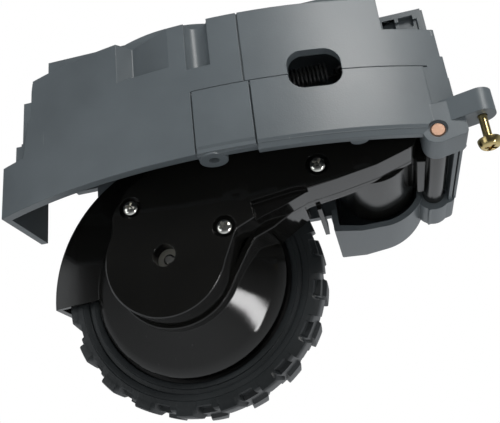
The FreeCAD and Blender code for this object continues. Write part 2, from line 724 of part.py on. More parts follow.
def tyre():
    near = TYRE_NEAR_Y
    far = WHEEL_FAR_Y
    bottom = TYRE_R - TREAD_GROOVE_D
    middle = (near + far) / 2
    ring = revolve_y([
        (TYRE_INNER_R, near + 0.5), (TYRE_INNER_R + 0.8, near - BEAD_STEP + 0.6), (TYRE_INNER_R + 1.6, near),
        (SIDEWALL_R, near), (SIDEWALL_R + 0.5, near + 0.3), (TYRE_R - TYRE_SHOULDER, near + 0.6),
        (TYRE_R, near + TYRE_SHOULDER), (TYRE_R, middle - TREAD_GROOVE_W), (bottom, middle - TREAD_GROOVE_W / 2),
        (bottom, middle + TREAD_GROOVE_W / 2), (TYRE_R, middle + TREAD_GROOVE_W), (TYRE_R, far - TYRE_SHOULDER),
        (TYRE_R - TYRE_SHOULDER, far - 0.4), (SIDEWALL_R, far), (TYRE_INNER_R, far)])
    notches = []
    for index in range(LUG_COUNT):
        for far_side in (False, True):
            angle = FIRST_NOTCH_DEG + (index + (0.5 if far_side else 0.0)) * 360.0 / LUG_COUNT
            notches.append(tread_notch(far_side, angle))
    return ring.cut(Part.makeCompound(notches))


def tread_notch(far_side, degrees):
    """Slanting notch through one shoulder of the tread, open to the side."""
    outer = TYRE_R + 1.0
    inner = TYRE_R - LUG_DEPTH
    half = LUG_NOTCH_W / 2
    edge = WHEEL_FAR_Y + 1.0 if far_side else TYRE_NEAR_Y - 1.0
    tip = WHEEL_FAR_Y - LUG_NOTCH_Y if far_side else TYRE_NEAR_Y + LUG_NOTCH_Y
    face = Part.Face(Part.makePolygon([
        vec(inner, edge, -half), vec(inner, edge, half), vec(inner, tip, half * 0.6 + LUG_NOTCH_LEAN),
        vec(inner, tip, -half * 0.6 + LUG_NOTCH_LEAN), vec(inner, edge, -half)]))
    notch = face.extrude(vec(outer - inner, 0, 0))
    notch.rotate(vec(0, 0, 0), vec(0, 1, 0), -degrees)
    return notch


def wheel_rim():
    """Cup-shaped rim: the shield sits in its mouth, the web and hub are behind it."""
    near = TYRE_NEAR_Y + 0.5
    far = WHEEL_FAR_Y
    outer = TYRE_INNER_R - SEAT_GAP
    inner = outer - RIM_WALL + 0.7
    web = near + RIM_WEB_Y
    rim = revolve_y([
        (SHAFT_R + SEAT_GAP, web - HUB_LEN / 3), (HUB_R, web - HUB_LEN / 3), (HUB_R, web), (inner, web),
        (inner, near + 1.6), (outer, near + 1.6), (outer, far), (inner, far), (inner, web + RIM_WEB),
        (HUB_R, web + RIM_WEB), (HUB_R, web + HUB_LEN * 2 / 3), (SHAFT_R + SEAT_GAP, web + HUB_LEN * 2 / 3)])
    for index in range(SPOKE_COUNT):
        x, z = polar(SPOKE_HOLE_PCR, math.radians(index * 360.0 / SPOKE_COUNT))
        rim = rim.cut(rod_y(x, z, web - 1, web + RIM_WEB + 1, SPOKE_HOLE_R))
    return rim


def hub_back_y():
    return TYRE_NEAR_Y + 0.5 + RIM_WEB_Y + HUB_LEN * 2 / 3


def wheel_shaft():
    return rod_y(0, 0, SHAFT_FRONT_Y, hub_back_y() - 0.4, SHAFT_R)


def hub_washer():
    back = hub_back_y()
    return rod_y(0, 0, back, back + WASHER_T, WASHER_R).cut(rod_y(0, 0, back - 1, back + 2, 1.1))


def hub_screw():
    seat = hub_back_y() + WASHER_T
    return revolve_y([
        (0, seat - 0.9), (1.0, seat - 0.9), (1.0, seat), (2.2, seat), (2.0, seat + 1.0), (1.2, seat + 1.4),
        (0, seat + 1.4)])


# Housing

def wall_tube(radius_out, radius_in, z0, z1):
    outer = rod_z(WALL_MID_X, WALL_MID_Y, z0, z1, radius_out)
    return outer.cut(rod_z(WALL_MID_X, WALL_MID_Y, z0 - 1, z1 + 1, radius_in))


def wall_y(x, radius):
    """Y of the wall's surface of the given radius at one X."""
    return WALL_MID_Y - math.sqrt(radius ** 2 - (x - WALL_MID_X) ** 2)


def outer_wall():
    """Plain wall to the left and above, cut out of a cylinder by its outline seen from outboard."""
    outline = prism_y([
        (WALL_LEFT_X, WALL_BOTTOM_Z, 0.0), (WALL_LEFT_X + 1.2, WALL_STEP_Z, 0.0), (WALL_STEP_X, WALL_STEP_Z, 0.0),
        (WALL_TOP_LEFT_X, WALL_TOP_Z, 1.0), (WALL_CUT_X - 0.8, WALL_TOP_Z, 0.6), (WALL_CUT_X, WALL_CUT_Z, 0.0),
        (WALL_RIGHT_X - 1.6, WALL_CUT_Z, 1.2), (WALL_RIGHT_X - 0.6, WALL_CUT_Z - 8, 0.0),
        (WALL_RIGHT_X, WALL_CUT_Z - 8, 0.0), (WALL_RIGHT_X, PANEL_C_BOTTOM_Z + 1, 0.0),
        (PANEL_C_X, PANEL_C_BOTTOM_Z + 1, 0.0), (PANEL_C_X, WALL_BOTTOM_Z, 0.0)], -30, 30)
    return wall_tube(WALL_R, WALL_INNER_R, 0, REACH).common(outline)


def proud_panel(x0, x1, z0, z1):
    """Glossy field that stands a little proud, with a bevelled lip along its lower edge."""
    radius = WALL_R + PANEL_PROUD
    lip = Part.makeCone(radius - PANEL_LIP_IN, radius, PANEL_LIP_H, vec(WALL_MID_X, WALL_MID_Y, z0))
    upper = rod_z(WALL_MID_X, WALL_MID_Y, z0 + PANEL_LIP_H, z1, radius)
    body = fused([lip, upper]).cut(rod_z(WALL_MID_X, WALL_MID_Y, z0 - 1, z1 + 1, WALL_INNER_R))
    return body.common(box(x0, x1, -30, 30, z0, z1))


def seams():
    """Fine parting grooves between the fields of the wall."""
    half = SEAM_W / 2
    strips = [
        box(UPPER_SEAM_X - half, UPPER_SEAM_X + half, -30, 30, PANEL_TOP_Z, WALL_TOP_Z + 1),
        box(PANEL_C_X - half, PANEL_C_X + half, -30, 30, 0, PANEL_TOP_Z),
        box(PANEL_D_X - half, PANEL_D_X + half, -30, 30, 0, PANEL_TOP_Z),
        box(PANEL_C_X, WALL_RIGHT_X - 4.4, -30, 30, PANEL_TOP_Z - half, PANEL_TOP_Z + half)]
    ring = wall_tube(WALL_R + 5, WALL_R - SEAM_D, 0, REACH)
    return [strip.common(ring) for strip in strips]


def wall_recesses():
    """Backing for the V-shaped recess and the half-round groove in the wall's upper edge."""
    left = NOTCH_X
    right = NOTCH_X + NOTCH_W
    deep_y = wall_y(NOTCH_DEEP_X, WALL_R) + NOTCH_DEPTH
    backing = prism_z([
        (left - 3, wall_y(left, WALL_R) + 1.0, 0.0), (NOTCH_DEEP_X, deep_y + 2.2, 0.0),
        (right + 4, wall_y(right, WALL_R) + 1.0, 0.0)], NOTCH_Z - 2, WALL_TOP_Z)
    notch = prism_z([
        (left - 1, wall_y(left, WALL_R) - 1.2, 0.0), (NOTCH_DEEP_X, deep_y, 0.4),
        (right + 2, wall_y(right, WALL_R) - 0.7, 0.0)], NOTCH_Z, WALL_TOP_Z + 1)
    groove_y = wall_y(GROOVE_X, WALL_R)
    groove_backing = rod_z(GROOVE_X, groove_y + 0.6, GROOVE_Z - 2, WALL_TOP_Z, GROOVE_R + 2)
    groove_backing = groove_backing.common(rod_z(WALL_MID_X, WALL_MID_Y, 0, REACH, WALL_R))
    groove = rod_z(GROOVE_X, groove_y, GROOVE_Z, WALL_TOP_Z + 1, GROOVE_R)
    return [backing, groove_backing], [notch, groove]


def wall_tabs():
    """Two small flat ears under the wall's lower edge, the larger with a hole."""
    tab_y = WALL_FACE_Y + TAB_IN
    tab = rod_z(TAB_X, tab_y, PANEL_C_BOTTOM_Z - 0.2, PANEL_C_BOTTOM_Z + TAB_T, TAB_R)
    small_y = wall_y(SMALL_TAB_X, WALL_INNER_R)
    small = rod_z(SMALL_TAB_X, small_y + 0.4, PANEL_D_BOTTOM_Z + 0.4, PANEL_D_BOTTOM_Z + 2.2, SMALL_TAB_R)
    hole = rod_z(TAB_X, tab_y, 0, PANEL_C_BOTTOM_Z + TAB_T + 1, TAB_HOLE_R)
    return [tab, small], hole


def window_cut():
    return prism_y([
        (WINDOW_X, WINDOW_Z, WINDOW_CORNER), (WINDOW_X + WINDOW_W, WINDOW_Z, WINDOW_CORNER),
        (WINDOW_X + WINDOW_W, WINDOW_Z + WINDOW_H, WINDOW_CORNER), (WINDOW_X, WINDOW_Z + WINDOW_H, WINDOW_CORNER)],
        -30, 0)


def well_blocks(grow):
    """Hollow over the wheel and the gearbox in its raised place: the same forms, grown for the outside."""
    inner_wall = WALL_R - HOUSING_WALL + grow
    disc = rod_z(WALL_MID_X, WALL_MID_Y, WALL_BOTTOM_Z, WALL_TOP_Z - HOUSING_WALL + grow, inner_wall)
    main = disc.common(box(
        WALL_TOP_LEFT_X + HOUSING_WALL - grow, WALL_RIGHT_X - HOUSING_WALL - 0.6 + grow, -30, INBOARD_Y + grow,
        0, 80))
    left_x = WALL_LEFT_X + 2.0 - grow * 2.0 / HOUSING_WALL
    low_left = rod_z(WALL_MID_X, WALL_MID_Y, WALL_BOTTOM_Z, WALL_STEP_Z - HOUSING_WALL + grow, inner_wall)
    low_left = low_left.common(box(left_x, 0, -30, INBOARD_Y + grow, 0, 80))
    step_y = WELL_STEP_Y + HOUSING_WALL - grow
    left_steps = [
        box(left_x, 0, step_y, INBOARD_Y + grow, WALL_BOTTOM_Z, WELL_STEP_Z - HOUSING_WALL + grow),
        box(left_x + 1.6, 0, step_y, INBOARD_Y + grow, WALL_BOTTOM_Z, ROOF_Z - 5 + grow)]
    roof = box(WALL_TOP_LEFT_X + 6 - grow, WALL_CUT_X - HOUSING_WALL + grow, ROOF_FRONT_Y - grow, INBOARD_Y + grow,
               40, ROOF_Z + grow)
    roof_right = box(30, WALL_RIGHT_X - HOUSING_WALL - 0.6 + grow, ROOF_RIGHT_FRONT_Y - grow, INBOARD_Y + grow,
                     40, ROOF_Z + grow)
    domes = [
        rod_y(RAISED_X, RAISED_Z, MID_WELL_FRONT_Y - grow, INBOARD_Y + grow, MID_WELL_R + grow),
        rod_y(RAISED_X, RAISED_Z, WELL_FRONT_Y - grow, INBOARD_Y + grow, WELL_R + grow)]
    upper = box(-REACH, REACH, -REACH, REACH, RAISED_Z - 4, REACH)
    right_low = box(30, WALL_RIGHT_X - HOUSING_WALL - 0.6 + grow, 0, INBOARD_Y + grow, WALL_BOTTOM_Z, 50)
    return [main, low_left, right_low, roof, roof_right] + left_steps + [dome.common(upper) for dome in domes]


def bay_corners(grow):
    """Motor bay seen along Y: flat floor to the left, round under the motor, straight to the roof."""
    radius = CRADLE_R + grow
    return [
        (BAY_LEFT_X + HOUSING_WALL - grow, CRADLE_LEFT_Z - grow, 0.6),
        (MOTOR_X - 6, MOTOR_Z - radius - 0.2, 0.0),
        (MOTOR_X + radius * 0.97, MOTOR_Z - radius, radius * 0.93),
        (MOTOR_X + radius * 0.97, BAY_TOP_Z - HOUSING_WALL + grow, 1.0),
        (BAY_LEFT_X + HOUSING_WALL - grow, BAY_TOP_Z - HOUSING_WALL + grow, 1.0)]


def bay_plan(grow, z0, z1):
    """Plan of the motor bay, whose inboard wall slants towards the pivot."""
    left = BAY_LEFT_X - 5
    right = WALL_RIGHT_X + 5
    fall = (BAY_FAR_LEFT_Y - BAY_FAR_RIGHT_Y) / (66.0 - BAY_LEFT_X)
    far_left = BAY_FAR_LEFT_Y - HOUSING_WALL + grow + 5 * fall
    far_right = far_left - (right - left) * fall
    near = BAY_NEAR_Y - 3 + 3 * grow / HOUSING_WALL
    return prism_z([(left, near, 0.0), (right, near, 0.0), (right, far_right, 0.0), (left, far_left, 0.0)], z0, z1)


def motor_bay(grow, floor_grow):
    """Cradle under the motor, widening above the pivot to the full width of the housing."""
    wide = box(BAY_LEFT_X + HOUSING_WALL - grow, WALL_RIGHT_X - HOUSING_WALL - 0.6 + grow, 20, 80,
               PIVOT_Z + FAR_EAR_R - grow, BAY_TOP_Z - HOUSING_WALL + grow)
    profile = fused([prism_y(bay_corners(floor_grow), 20, 80), wide])
    return profile.common(bay_plan(grow, 0, 60))


def motor_swing(y0, y1, radius):
    """Space that a round part of the given radius about the motor's axis sweeps as the arm rises."""
    reach_x = MOTOR_X - PIVOT_X
    reach_z = MOTOR_Z - PIVOT_Z
    places = []
    for step in range(SWING_STEPS + 1):
        angle = RAISE * step / SWING_STEPS
        x = PIVOT_X + reach_x * math.cos(angle) + reach_z * math.sin(angle)
        z = PIVOT_Z - reach_x * math.sin(angle) + reach_z * math.cos(angle)
        places.append(rod_y(x, z, y0, y1, radius + SWING_GAP))
    return fused(places)


def swing_cuts():
    """Room for the end of the gearbox, the motor's sleeve and the bare motor behind it."""
    return [
        motor_swing(COVER_SLOPE_DROP - SWING_GAP, FLANGE_BACK_Y + SWING_GAP, ARM_END_R),
        motor_swing(FLANGE_BACK_Y, SLEEVE_END_Y + SWING_GAP, SLEEVE_R),
        motor_swing(SLEEVE_END_Y, MOTOR_BOARD_Y + BOARD_T + SWING_GAP, MOTOR_R)]


def near_ear():
    ear = rod_y(PIVOT_X, PIVOT_Z, NEAR_EAR_Y0, NEAR_EAR_Y1, NEAR_EAR_R)
    block = prism_y([
        (PIVOT_X - NEAR_EAR_R, PIVOT_Z, 0.0), (PIVOT_X - NEAR_EAR_R + 0.6, PIVOT_Z - NEAR_EAR_R - 0.5, 3.2),
        (WALL_RIGHT_X + 1.0, PIVOT_Z - 2.4, 1.0), (WALL_RIGHT_X + 1.0, LUG_TOP_Z - 0.6, 0.6),
        (PIVOT_X - NEAR_EAR_R, LUG_TOP_Z - 0.6, 3.0)], NEAR_EAR_Y0, NEAR_EAR_Y1)
    return fused([ear, block])


def far_ear():
    ear = rod_y(PIVOT_X, PIVOT_Z, FAR_EAR_Y0, FAR_EAR_Y1, FAR_EAR_R)
    block = prism_y([
        (PIVOT_X - 2.0, PIVOT_Z - FAR_EAR_R, 0.0), (WALL_RIGHT_X, PIVOT_Z - 3.0, 1.6),
        (WALL_RIGHT_X + 0.6, PIVOT_Z + 14, 0.0), (PIVOT_X - 4.2, PIVOT_Z + 14, 0.0), (PIVOT_X - 4.4, PIVOT_Z, 0.0)],
        FAR_EAR_Y0, FAR_EAR_Y1)
    return fused([ear, block])


def ear_slots():
    """Two slots in the right flank of the far ear."""
    slots = []
    for start in (38.2, 42.4):
        slots.append(box(WALL_RIGHT_X - 3.6, WALL_RIGHT_X + 2, start, start + 2.2, PIVOT_Z - 2.0, PIVOT_Z + 9))
    return slots


def right_ribs():
    """Right-hand wall between the ears and a thin rib inside it."""
    wall = box(WALL_RIGHT_X - 0.4, WALL_RIGHT_X + 1.0, NEAR_EAR_Y1 - 1, FAR_EAR_Y0 + 1, PIVOT_Z - 2, LUG_TOP_Z + 10)
    rib = box(PIVOT_X + BARREL_R + 0.6, PIVOT_X + BARREL_R + 1.5, NEAR_EAR_Y1 - 1, FAR_EAR_Y0 + 1,
              PIVOT_Z - 2.6, LUG_TOP_Z)
    return [wall, rib]


def bracket():
    """Open pocket behind the wall's low corner, with a hollow front rim and a rib."""
    x0 = WALL_CUT_X - 1.0
    x1 = WALL_RIGHT_X - 0.6
    front = ROOF_RIGHT_FRONT_Y - HOUSING_WALL
    slot = box(x0 + 2.6, x1 - 1.4, front - 1, front + 8, WALL_CUT_Z + 8.5, ROOF_Z - 0.6)
    rib = box(x0, x1, front + 1.0, front + 8, WALL_CUT_Z + 10.6, WALL_CUT_Z + 11.6)
    return slot, rib


def lug(root, screw, z0):
    """Flat-topped lug from the housing to round its captive screw."""
    start = vec(root[0], root[1], z0)
    end = vec(screw[0], screw[1], z0)
    side = end.sub(start).cross(vec(0, 0, 1)).normalize().multiply(LUG_R)
    wire = Part.makePolygon([start.add(side), end.add(side), end.sub(side), start.sub(side), start.add(side)])
    bar = Part.Face(wire).extrude(vec(0, 0, LUG_H))
    return fused([bar, rod_z(screw[0], screw[1], z0, z0 + LUG_H, LUG_R)])


def lug_bore(screw, z0):
    """Stepped hole whose lower ledge keeps the screw's thread from falling out."""
    x, y = screw
    wide = rod_z(x, y, z0 + CAPTIVE_LEDGE, z0 + LUG_H + 1, CAPTIVE_HOLE_R)
    narrow = rod_z(x, y, z0 - 1, z0 + LUG_H, CAPTIVE_WAIST_R + 0.15)
    return fused([wide, narrow])


LUGS = (
    (LUG_ROOT, LUG_SCREW_AT, LUG_BOTTOM_Z),
    ((INNER_LUG_LEFT[0], INBOARD_Y + 1), INNER_LUG_LEFT, INNER_LUG_LEFT_Z),
    ((INNER_LUG_RIGHT[0] + 1.5, BAY_FAR_RIGHT_Y + 3.0), INNER_LUG_RIGHT, INNER_LUG_RIGHT_Z))


def wall_hook():
    """Post inside the wall for the spring's fixed end."""
    foot = wall_y(WALL_HOOK_X, WALL_INNER_R)
    return [
        rod_y(WALL_HOOK_X, WALL_HOOK_Z, foot - 1, WALL_HOOK_Y - 0.6, HOOK_POST_R + 1.0),
        rod_y(WALL_HOOK_X, WALL_HOOK_Z, foot - 1, WALL_HOOK_Y + 1.0, HOOK_POST_R)]


def wheel_well_housing():
    recess_backs, recess_cuts = wall_recesses()
    tabs, tab_hole = wall_tabs()
    outside = fused(well_blocks(HOUSING_WALL))
    bay_outside = motor_bay(HOUSING_WALL, CRADLE_T)
    shell = fused([outside, bay_outside])
    shell = cut_all(shell, well_blocks(0.0) + [motor_bay(0.0, 0.0)])
    shell = cut_all(shell, [box(-80, 80, -30, 80, 0, PANEL_D_BOTTOM_Z).cut(box(35, 80, 30, 80, -1, 30))])
    panels = [
        proud_panel(PANEL_C_X, PANEL_D_X, PANEL_C_BOTTOM_Z, PANEL_TOP_Z),
        proud_panel(PANEL_D_X, PIVOT_X, PANEL_D_BOTTOM_Z, PANEL_TOP_Z)]
    front = fused([outer_wall()] + panels + recess_backs)
    slot, rib = bracket()
    body = fused([front, shell] + tabs)
    body = body.cut(slot)
    body = fused([body, near_ear(), far_ear(), rib] + right_ribs() + wall_hook() + [lug(*each) for each in LUGS])
    cuts = recess_cuts + seams() + ear_slots() + swing_cuts() + [tab_hole, window_cut()]
    cuts += [lug_bore(screw, z0) for root, screw, z0 in LUGS]
    cuts.append(rod_y(PIVOT_X, PIVOT_Z, NEAR_EAR_Y0 - 1, FAR_EAR_Y1 - PLASTIC, PIN_R + SEAT_GAP))
    cuts.append(rod_y(PIVOT_X, PIVOT_Z, NEAR_EAR_Y0 - 1, NEAR_EAR_Y0 + PIN_RECESS_D, PIN_RECESS_R))
    cuts.append(rod_y(PIVOT_X, PIVOT_Z, NEAR_EAR_Y1, FAR_EAR_Y0, BARREL_R + 0.5))
    return cut_all(body, cuts)


def pivot_pin():
    start = NEAR_EAR_Y0 + 0.5
    end = FAR_EAR_Y1 - PLASTIC
    return revolve_y([
        (0, start), (PIN_R - 0.3, start), (PIN_R, start + 0.3), (PIN_R, end - 0.3), (PIN_R - 0.3, end), (0, end)],
        PIVOT_X, PIVOT_Z)


def captive_screw(screw, z0):
    """Waisted screw hanging from its lug: thread above the ledge, cross-slotted head below."""
    x, y = screw
    under = z0 - CAPTIVE_HANG
    thread = z0 + CAPTIVE_LEDGE + 0.1
    top = thread + CAPTIVE_THREAD_LEN
    body = revolve_z([
        (0, under - CAPTIVE_HEAD_H), (CAPTIVE_HEAD_R * 0.6, under - CAPTIVE_HEAD_H),
        (CAPTIVE_HEAD_R * 0.92, under - CAPTIVE_HEAD_H * 0.65), (CAPTIVE_HEAD_R, under - CAPTIVE_HEAD_H * 0.3),
        (CAPTIVE_HEAD_R * 0.94, under), (CAPTIVE_WAIST_R, under), (CAPTIVE_WAIST_R, thread),
        (CAPTIVE_THREAD_R, thread), (CAPTIVE_THREAD_R, top - 0.8), (CAPTIVE_THREAD_R * 0.5, top), (0, top)], x, y)
    size = CAPTIVE_HEAD_R * 0.6
    slot_z = under - CAPTIVE_HEAD_H
    wide = box(x - size, x + size, y - size / 4, y + size / 4, slot_z - 1, slot_z + 1.0)
    tall = box(x - size / 4, x + size / 4, y - size, y + size, slot_z - 1, slot_z + 1.0)
    return body.cut(wide).cut(tall)


def suspension_spring():
    """Close-wound tension spring between the wall's post and the arm's post, with a loop at each end."""
    start = vec(WALL_HOOK_X, WALL_HOOK_Y, WALL_HOOK_Z)
    end = vec(ARM_HOOK_X, ARM_HOOK_Y, ARM_HOOK_Z)
    way = end.sub(start)
    length = way.Length - 2 * HOOK_LEN
    pitch = length / SPRING_COILS
    outline = [vec(SPRING_R - SPRING_WIRE, 0, HOOK_LEN)]
    for coil in range(SPRING_COILS):
        outline.append(vec(SPRING_R - SPRING_WIRE / 2, 0, HOOK_LEN + coil * pitch))
        outline.append(vec(SPRING_R, 0, HOOK_LEN + (coil + 0.5) * pitch))
    outline.append(vec(SPRING_R - SPRING_WIRE / 2, 0, HOOK_LEN + length))
    outline.append(vec(SPRING_R - SPRING_WIRE, 0, HOOK_LEN + length))
    coils = Part.Face(Part.makePolygon(outline + [outline[0]])).revolve(vec(0, 0, 0), vec(0, 0, 1), 360)
    wire = SPRING_WIRE / 2
    loop_r = HOOK_POST_R + wire + 0.15
    loops = []
    for centre in (0, way.Length):
        inward = 1 if centre == 0 else -1
        loops.append(Part.makeTorus(loop_r, wire, vec(0, 0, centre), vec(0, 1, 0)))
        reach = vec(0, 0, centre + inward * loop_r)
        loops.append(rod_between(reach, vec(SPRING_R - SPRING_WIRE, 0, centre + inward * (HOOK_LEN + 0.4)), wire))
    spring = fused([coils] + loops)
    turn = FreeCAD.Rotation(vec(0, 0, 1), way)
    spring.Placement = FreeCAD.Placement(start, turn)
    return spring


def plug_block():
    base = ROOF_Z + HOUSING_WALL
    block = prism_z([
        (PLUG_X, PLUG_Y, 1.0), (PLUG_X + PLUG_W, PLUG_Y, 1.0), (PLUG_X + PLUG_W, PLUG_Y + PLUG_D, 1.0),
        (PLUG_X, PLUG_Y + PLUG_D, 1.0)], base, base + PLUG_H)
    pocket = box(PLUG_X + 1.2, PLUG_X + PLUG_W - 1.2, PLUG_Y + 1.2, PLUG_Y + PLUG_D - 1.2, base + 2, base + PLUG_H + 1)
    return block.cut(pocket)


def plug_contacts():
    base = ROOF_Z + HOUSING_WALL + 2
    first = PLUG_X + PLUG_W / 2 - PLUG_PITCH * (PLUG_CONTACTS - 1) / 2
    blades = []
    for index in range(PLUG_CONTACTS):
        x = first + index * PLUG_PITCH
        blades.append(box(x - PLUG_CONTACT_W / 2, x + PLUG_CONTACT_W / 2, PLUG_Y + 2, PLUG_Y + PLUG_D - 2,
                          base, base + PLUG_H - 2.6))
    return Part.makeCompound(blades)


os.makedirs("parts", exist_ok=True)
export("wheel_well_housing", wheel_well_housing())
export("pivot_pin", pivot_pin())
export("captive_screw_outer", captive_screw(LUG_SCREW_AT, LUG_BOTTOM_Z))
export("captive_screw_left", captive_screw(INNER_LUG_LEFT, INNER_LUG_LEFT_Z))
export("captive_screw_right", captive_screw(INNER_LUG_RIGHT, INNER_LUG_RIGHT_Z))
export("suspension_spring", suspension_spring())
export("plug_block", plug_block())
export("plug_contacts", plug_contacts())
export("gearbox_cover", gearbox_cover())
export("gearbox_case", gearbox_case())
export("gearbox_screws", gearbox_screws())
export("gear_pins", gear_pins())
export("motor_carrier", motor_carrier())
export("motor_can", motor_can())
export("motor_end_cap", motor_end_cap())
export("motor_shaft", motor_shaft())
export("motor_pinion", motor_pinion())
export("encoder_disc", encoder_disc())
export("encoder_board", encoder_board())
for number in range(1, 5):
    export("gear_" + str(number), compound_gear(number - 1))
export("output_gear", output_gear())
export("wheel_shaft", wheel_shaft())
export("wheel_rim", wheel_rim())
export("tyre", tyre())
export("hub_washer", hub_washer())
export("hub_screw", hub_screw())
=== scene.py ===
import bmesh
import bpy
import json
import math
from mathutils import Matrix, Vector


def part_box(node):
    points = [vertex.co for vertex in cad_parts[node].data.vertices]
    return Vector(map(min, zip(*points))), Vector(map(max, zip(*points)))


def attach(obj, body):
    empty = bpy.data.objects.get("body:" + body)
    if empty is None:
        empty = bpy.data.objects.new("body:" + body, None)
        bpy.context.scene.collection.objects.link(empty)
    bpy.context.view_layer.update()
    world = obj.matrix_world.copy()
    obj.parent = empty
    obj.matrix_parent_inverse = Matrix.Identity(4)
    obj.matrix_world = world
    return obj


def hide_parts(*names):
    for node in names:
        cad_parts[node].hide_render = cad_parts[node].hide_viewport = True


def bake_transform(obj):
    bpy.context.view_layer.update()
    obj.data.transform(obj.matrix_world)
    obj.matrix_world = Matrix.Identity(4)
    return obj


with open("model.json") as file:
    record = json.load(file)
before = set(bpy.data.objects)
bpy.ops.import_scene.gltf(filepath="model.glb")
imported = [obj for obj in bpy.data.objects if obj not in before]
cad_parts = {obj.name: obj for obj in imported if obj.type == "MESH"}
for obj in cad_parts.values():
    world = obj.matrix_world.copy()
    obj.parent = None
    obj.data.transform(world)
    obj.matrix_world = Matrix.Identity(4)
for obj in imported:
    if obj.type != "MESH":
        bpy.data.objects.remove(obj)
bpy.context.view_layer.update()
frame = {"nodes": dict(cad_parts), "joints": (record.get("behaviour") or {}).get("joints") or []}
nodes = frame["nodes"]

# Everything is laid out in millimetres from the wheel's axle and from the outer face of the gearbox
# cover, with X along the robot's side and Z up, as the mechanism itself is.
MM = 0.001
TYRE_NEAR = 22.4
AXLE = next(Vector(joint["pos_m"]) for joint in frame["joints"] if joint["name"] == "wheel_spin")
FACE_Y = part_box("tyre")[0][1] - TYRE_NEAR * MM
FLOOR_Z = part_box("tyre")[0][2]


def at(x, y, z):
    return Vector((AXLE.x + x * MM, FACE_Y + y * MM, AXLE.z + z * MM))


# The view of the photograph: looking up at the module from outboard and below, with the picture
# tilted so that the wall's lower edge climbs to the right.
CAMERA_AT = (-0.02704, -0.14415, -0.07976)
CAMERA_TURN_DEG = (113.039, 6.188, 12.740)
CAMERA_LENS = 48.12
camera_data = bpy.data.cameras.new("camera")
camera_data.lens = CAMERA_LENS
camera_data.sensor_width = 36.0
camera_data.clip_start = 0.01
camera = bpy.data.objects.new("camera", camera_data)
camera.location = CAMERA_AT
camera.rotation_euler = [math.radians(angle) for angle in CAMERA_TURN_DEG]
bpy.context.scene.collection.objects.link(camera)
bpy.context.scene.camera = camera
bpy.context.scene.view_settings.view_transform = "Standard"

# Surroundings: even soft daylight. The polished black pieces mirror a white table below and inboard
# of the module and a dim room behind the camera. The camera itself sees plain white.
TABLE_WAY = (0.10, 0.62, -0.78)
MIRRORED_ROOM = 0.05
MIRRORED_TABLE = 0.75
DAYLIGHT = (0.94, 0.97, 1.0, 1)
DAYLIGHT_LEVEL = 0.42
world = bpy.data.worlds.new("daylight")
bpy.context.scene.world = world
world.use_nodes = True
sky = world.node_tree.nodes
sky_links = world.node_tree.links
way = sky.new("ShaderNodeTexCoord")
toward = sky.new("ShaderNodeVectorMath")
toward.operation = "DOT_PRODUCT"
toward.inputs[1].default_value = TABLE_WAY
sky_links.new(way.outputs["Generated"], toward.inputs[0])
bright = sky.new("ShaderNodeMapRange")
bright.inputs["From Min"].default_value = -0.35
bright.inputs["From Max"].default_value = 0.75
bright.inputs["To Min"].default_value = MIRRORED_ROOM
bright.inputs["To Max"].default_value = MIRRORED_TABLE
sky_links.new(toward.outputs["Value"], bright.inputs["Value"])
sky["Background"].inputs["Color"].default_value = DAYLIGHT
sky_links.new(bright.outputs["Result"], sky["Background"].inputs["Strength"])
white = sky.new("ShaderNodeBackground")
white.inputs["Color"].default_value = (1, 1, 1, 1)
white.inputs["Strength"].default_value = 1.0
soft = sky.new("ShaderNodeBackground")
soft.inputs["Color"].default_value = DAYLIGHT
soft.inputs["Strength"].default_value = DAYLIGHT_LEVEL
seen = sky.new("ShaderNodeLightPath")
lit = sky.new("ShaderNodeMixShader")
sky_links.new(seen.outputs["Is Glossy Ray"], lit.inputs[0])
sky_links.new(soft.outputs[0], lit.inputs[1])
sky_links.new(sky["Background"].outputs[0], lit.inputs[2])
mixed = sky.new("ShaderNodeMixShader")
sky_links.new(seen.outputs["Is Camera Ray"], mixed.inputs[0])
sky_links.new(lit.outputs[0], mixed.inputs[1])
sky_links.new(white.outputs[0], mixed.inputs[2])
sky_links.new(mixed.outputs[0], sky["World Output"].inputs["Surface"])


def lamp(name, place, target, size, watts, colour):
    data = bpy.data.lights.new(name, "AREA")
    data.shape = "RECTANGLE"
    data.size = size[0]
    data.size_y = size[1]
    data.energy = watts
    data.color = colour
    light = bpy.data.objects.new(name, data)
    light.location = place
    light.rotation_euler = (Vector(target) - Vector(place)).to_track_quat("-Z", "Y").to_euler()
    bpy.context.scene.collection.objects.link(light)


# A window high on the right lights the wall, a weak broad fill comes from the left, and a narrow
# low window only draws its bright streak on the dished shield, since the floor shades its light.
lamp("window_lamp", (0.22, -0.40, 0.34), (-0.04, 0.0, 0.0), (0.22, 0.22), 1.9, (1.0, 0.99, 0.97))
lamp("fill_lamp", (-0.45, -0.36, -0.02), (-0.06, 0.0, -0.01), (0.30, 0.40), 0.5, (0.95, 0.98, 1.0))
lamp("low_window", (0.255, -0.215, -0.225), (-0.058, 0.0146, -0.0377), (0.05, 0.20), 0.5, (1.0, 1.0, 1.0))

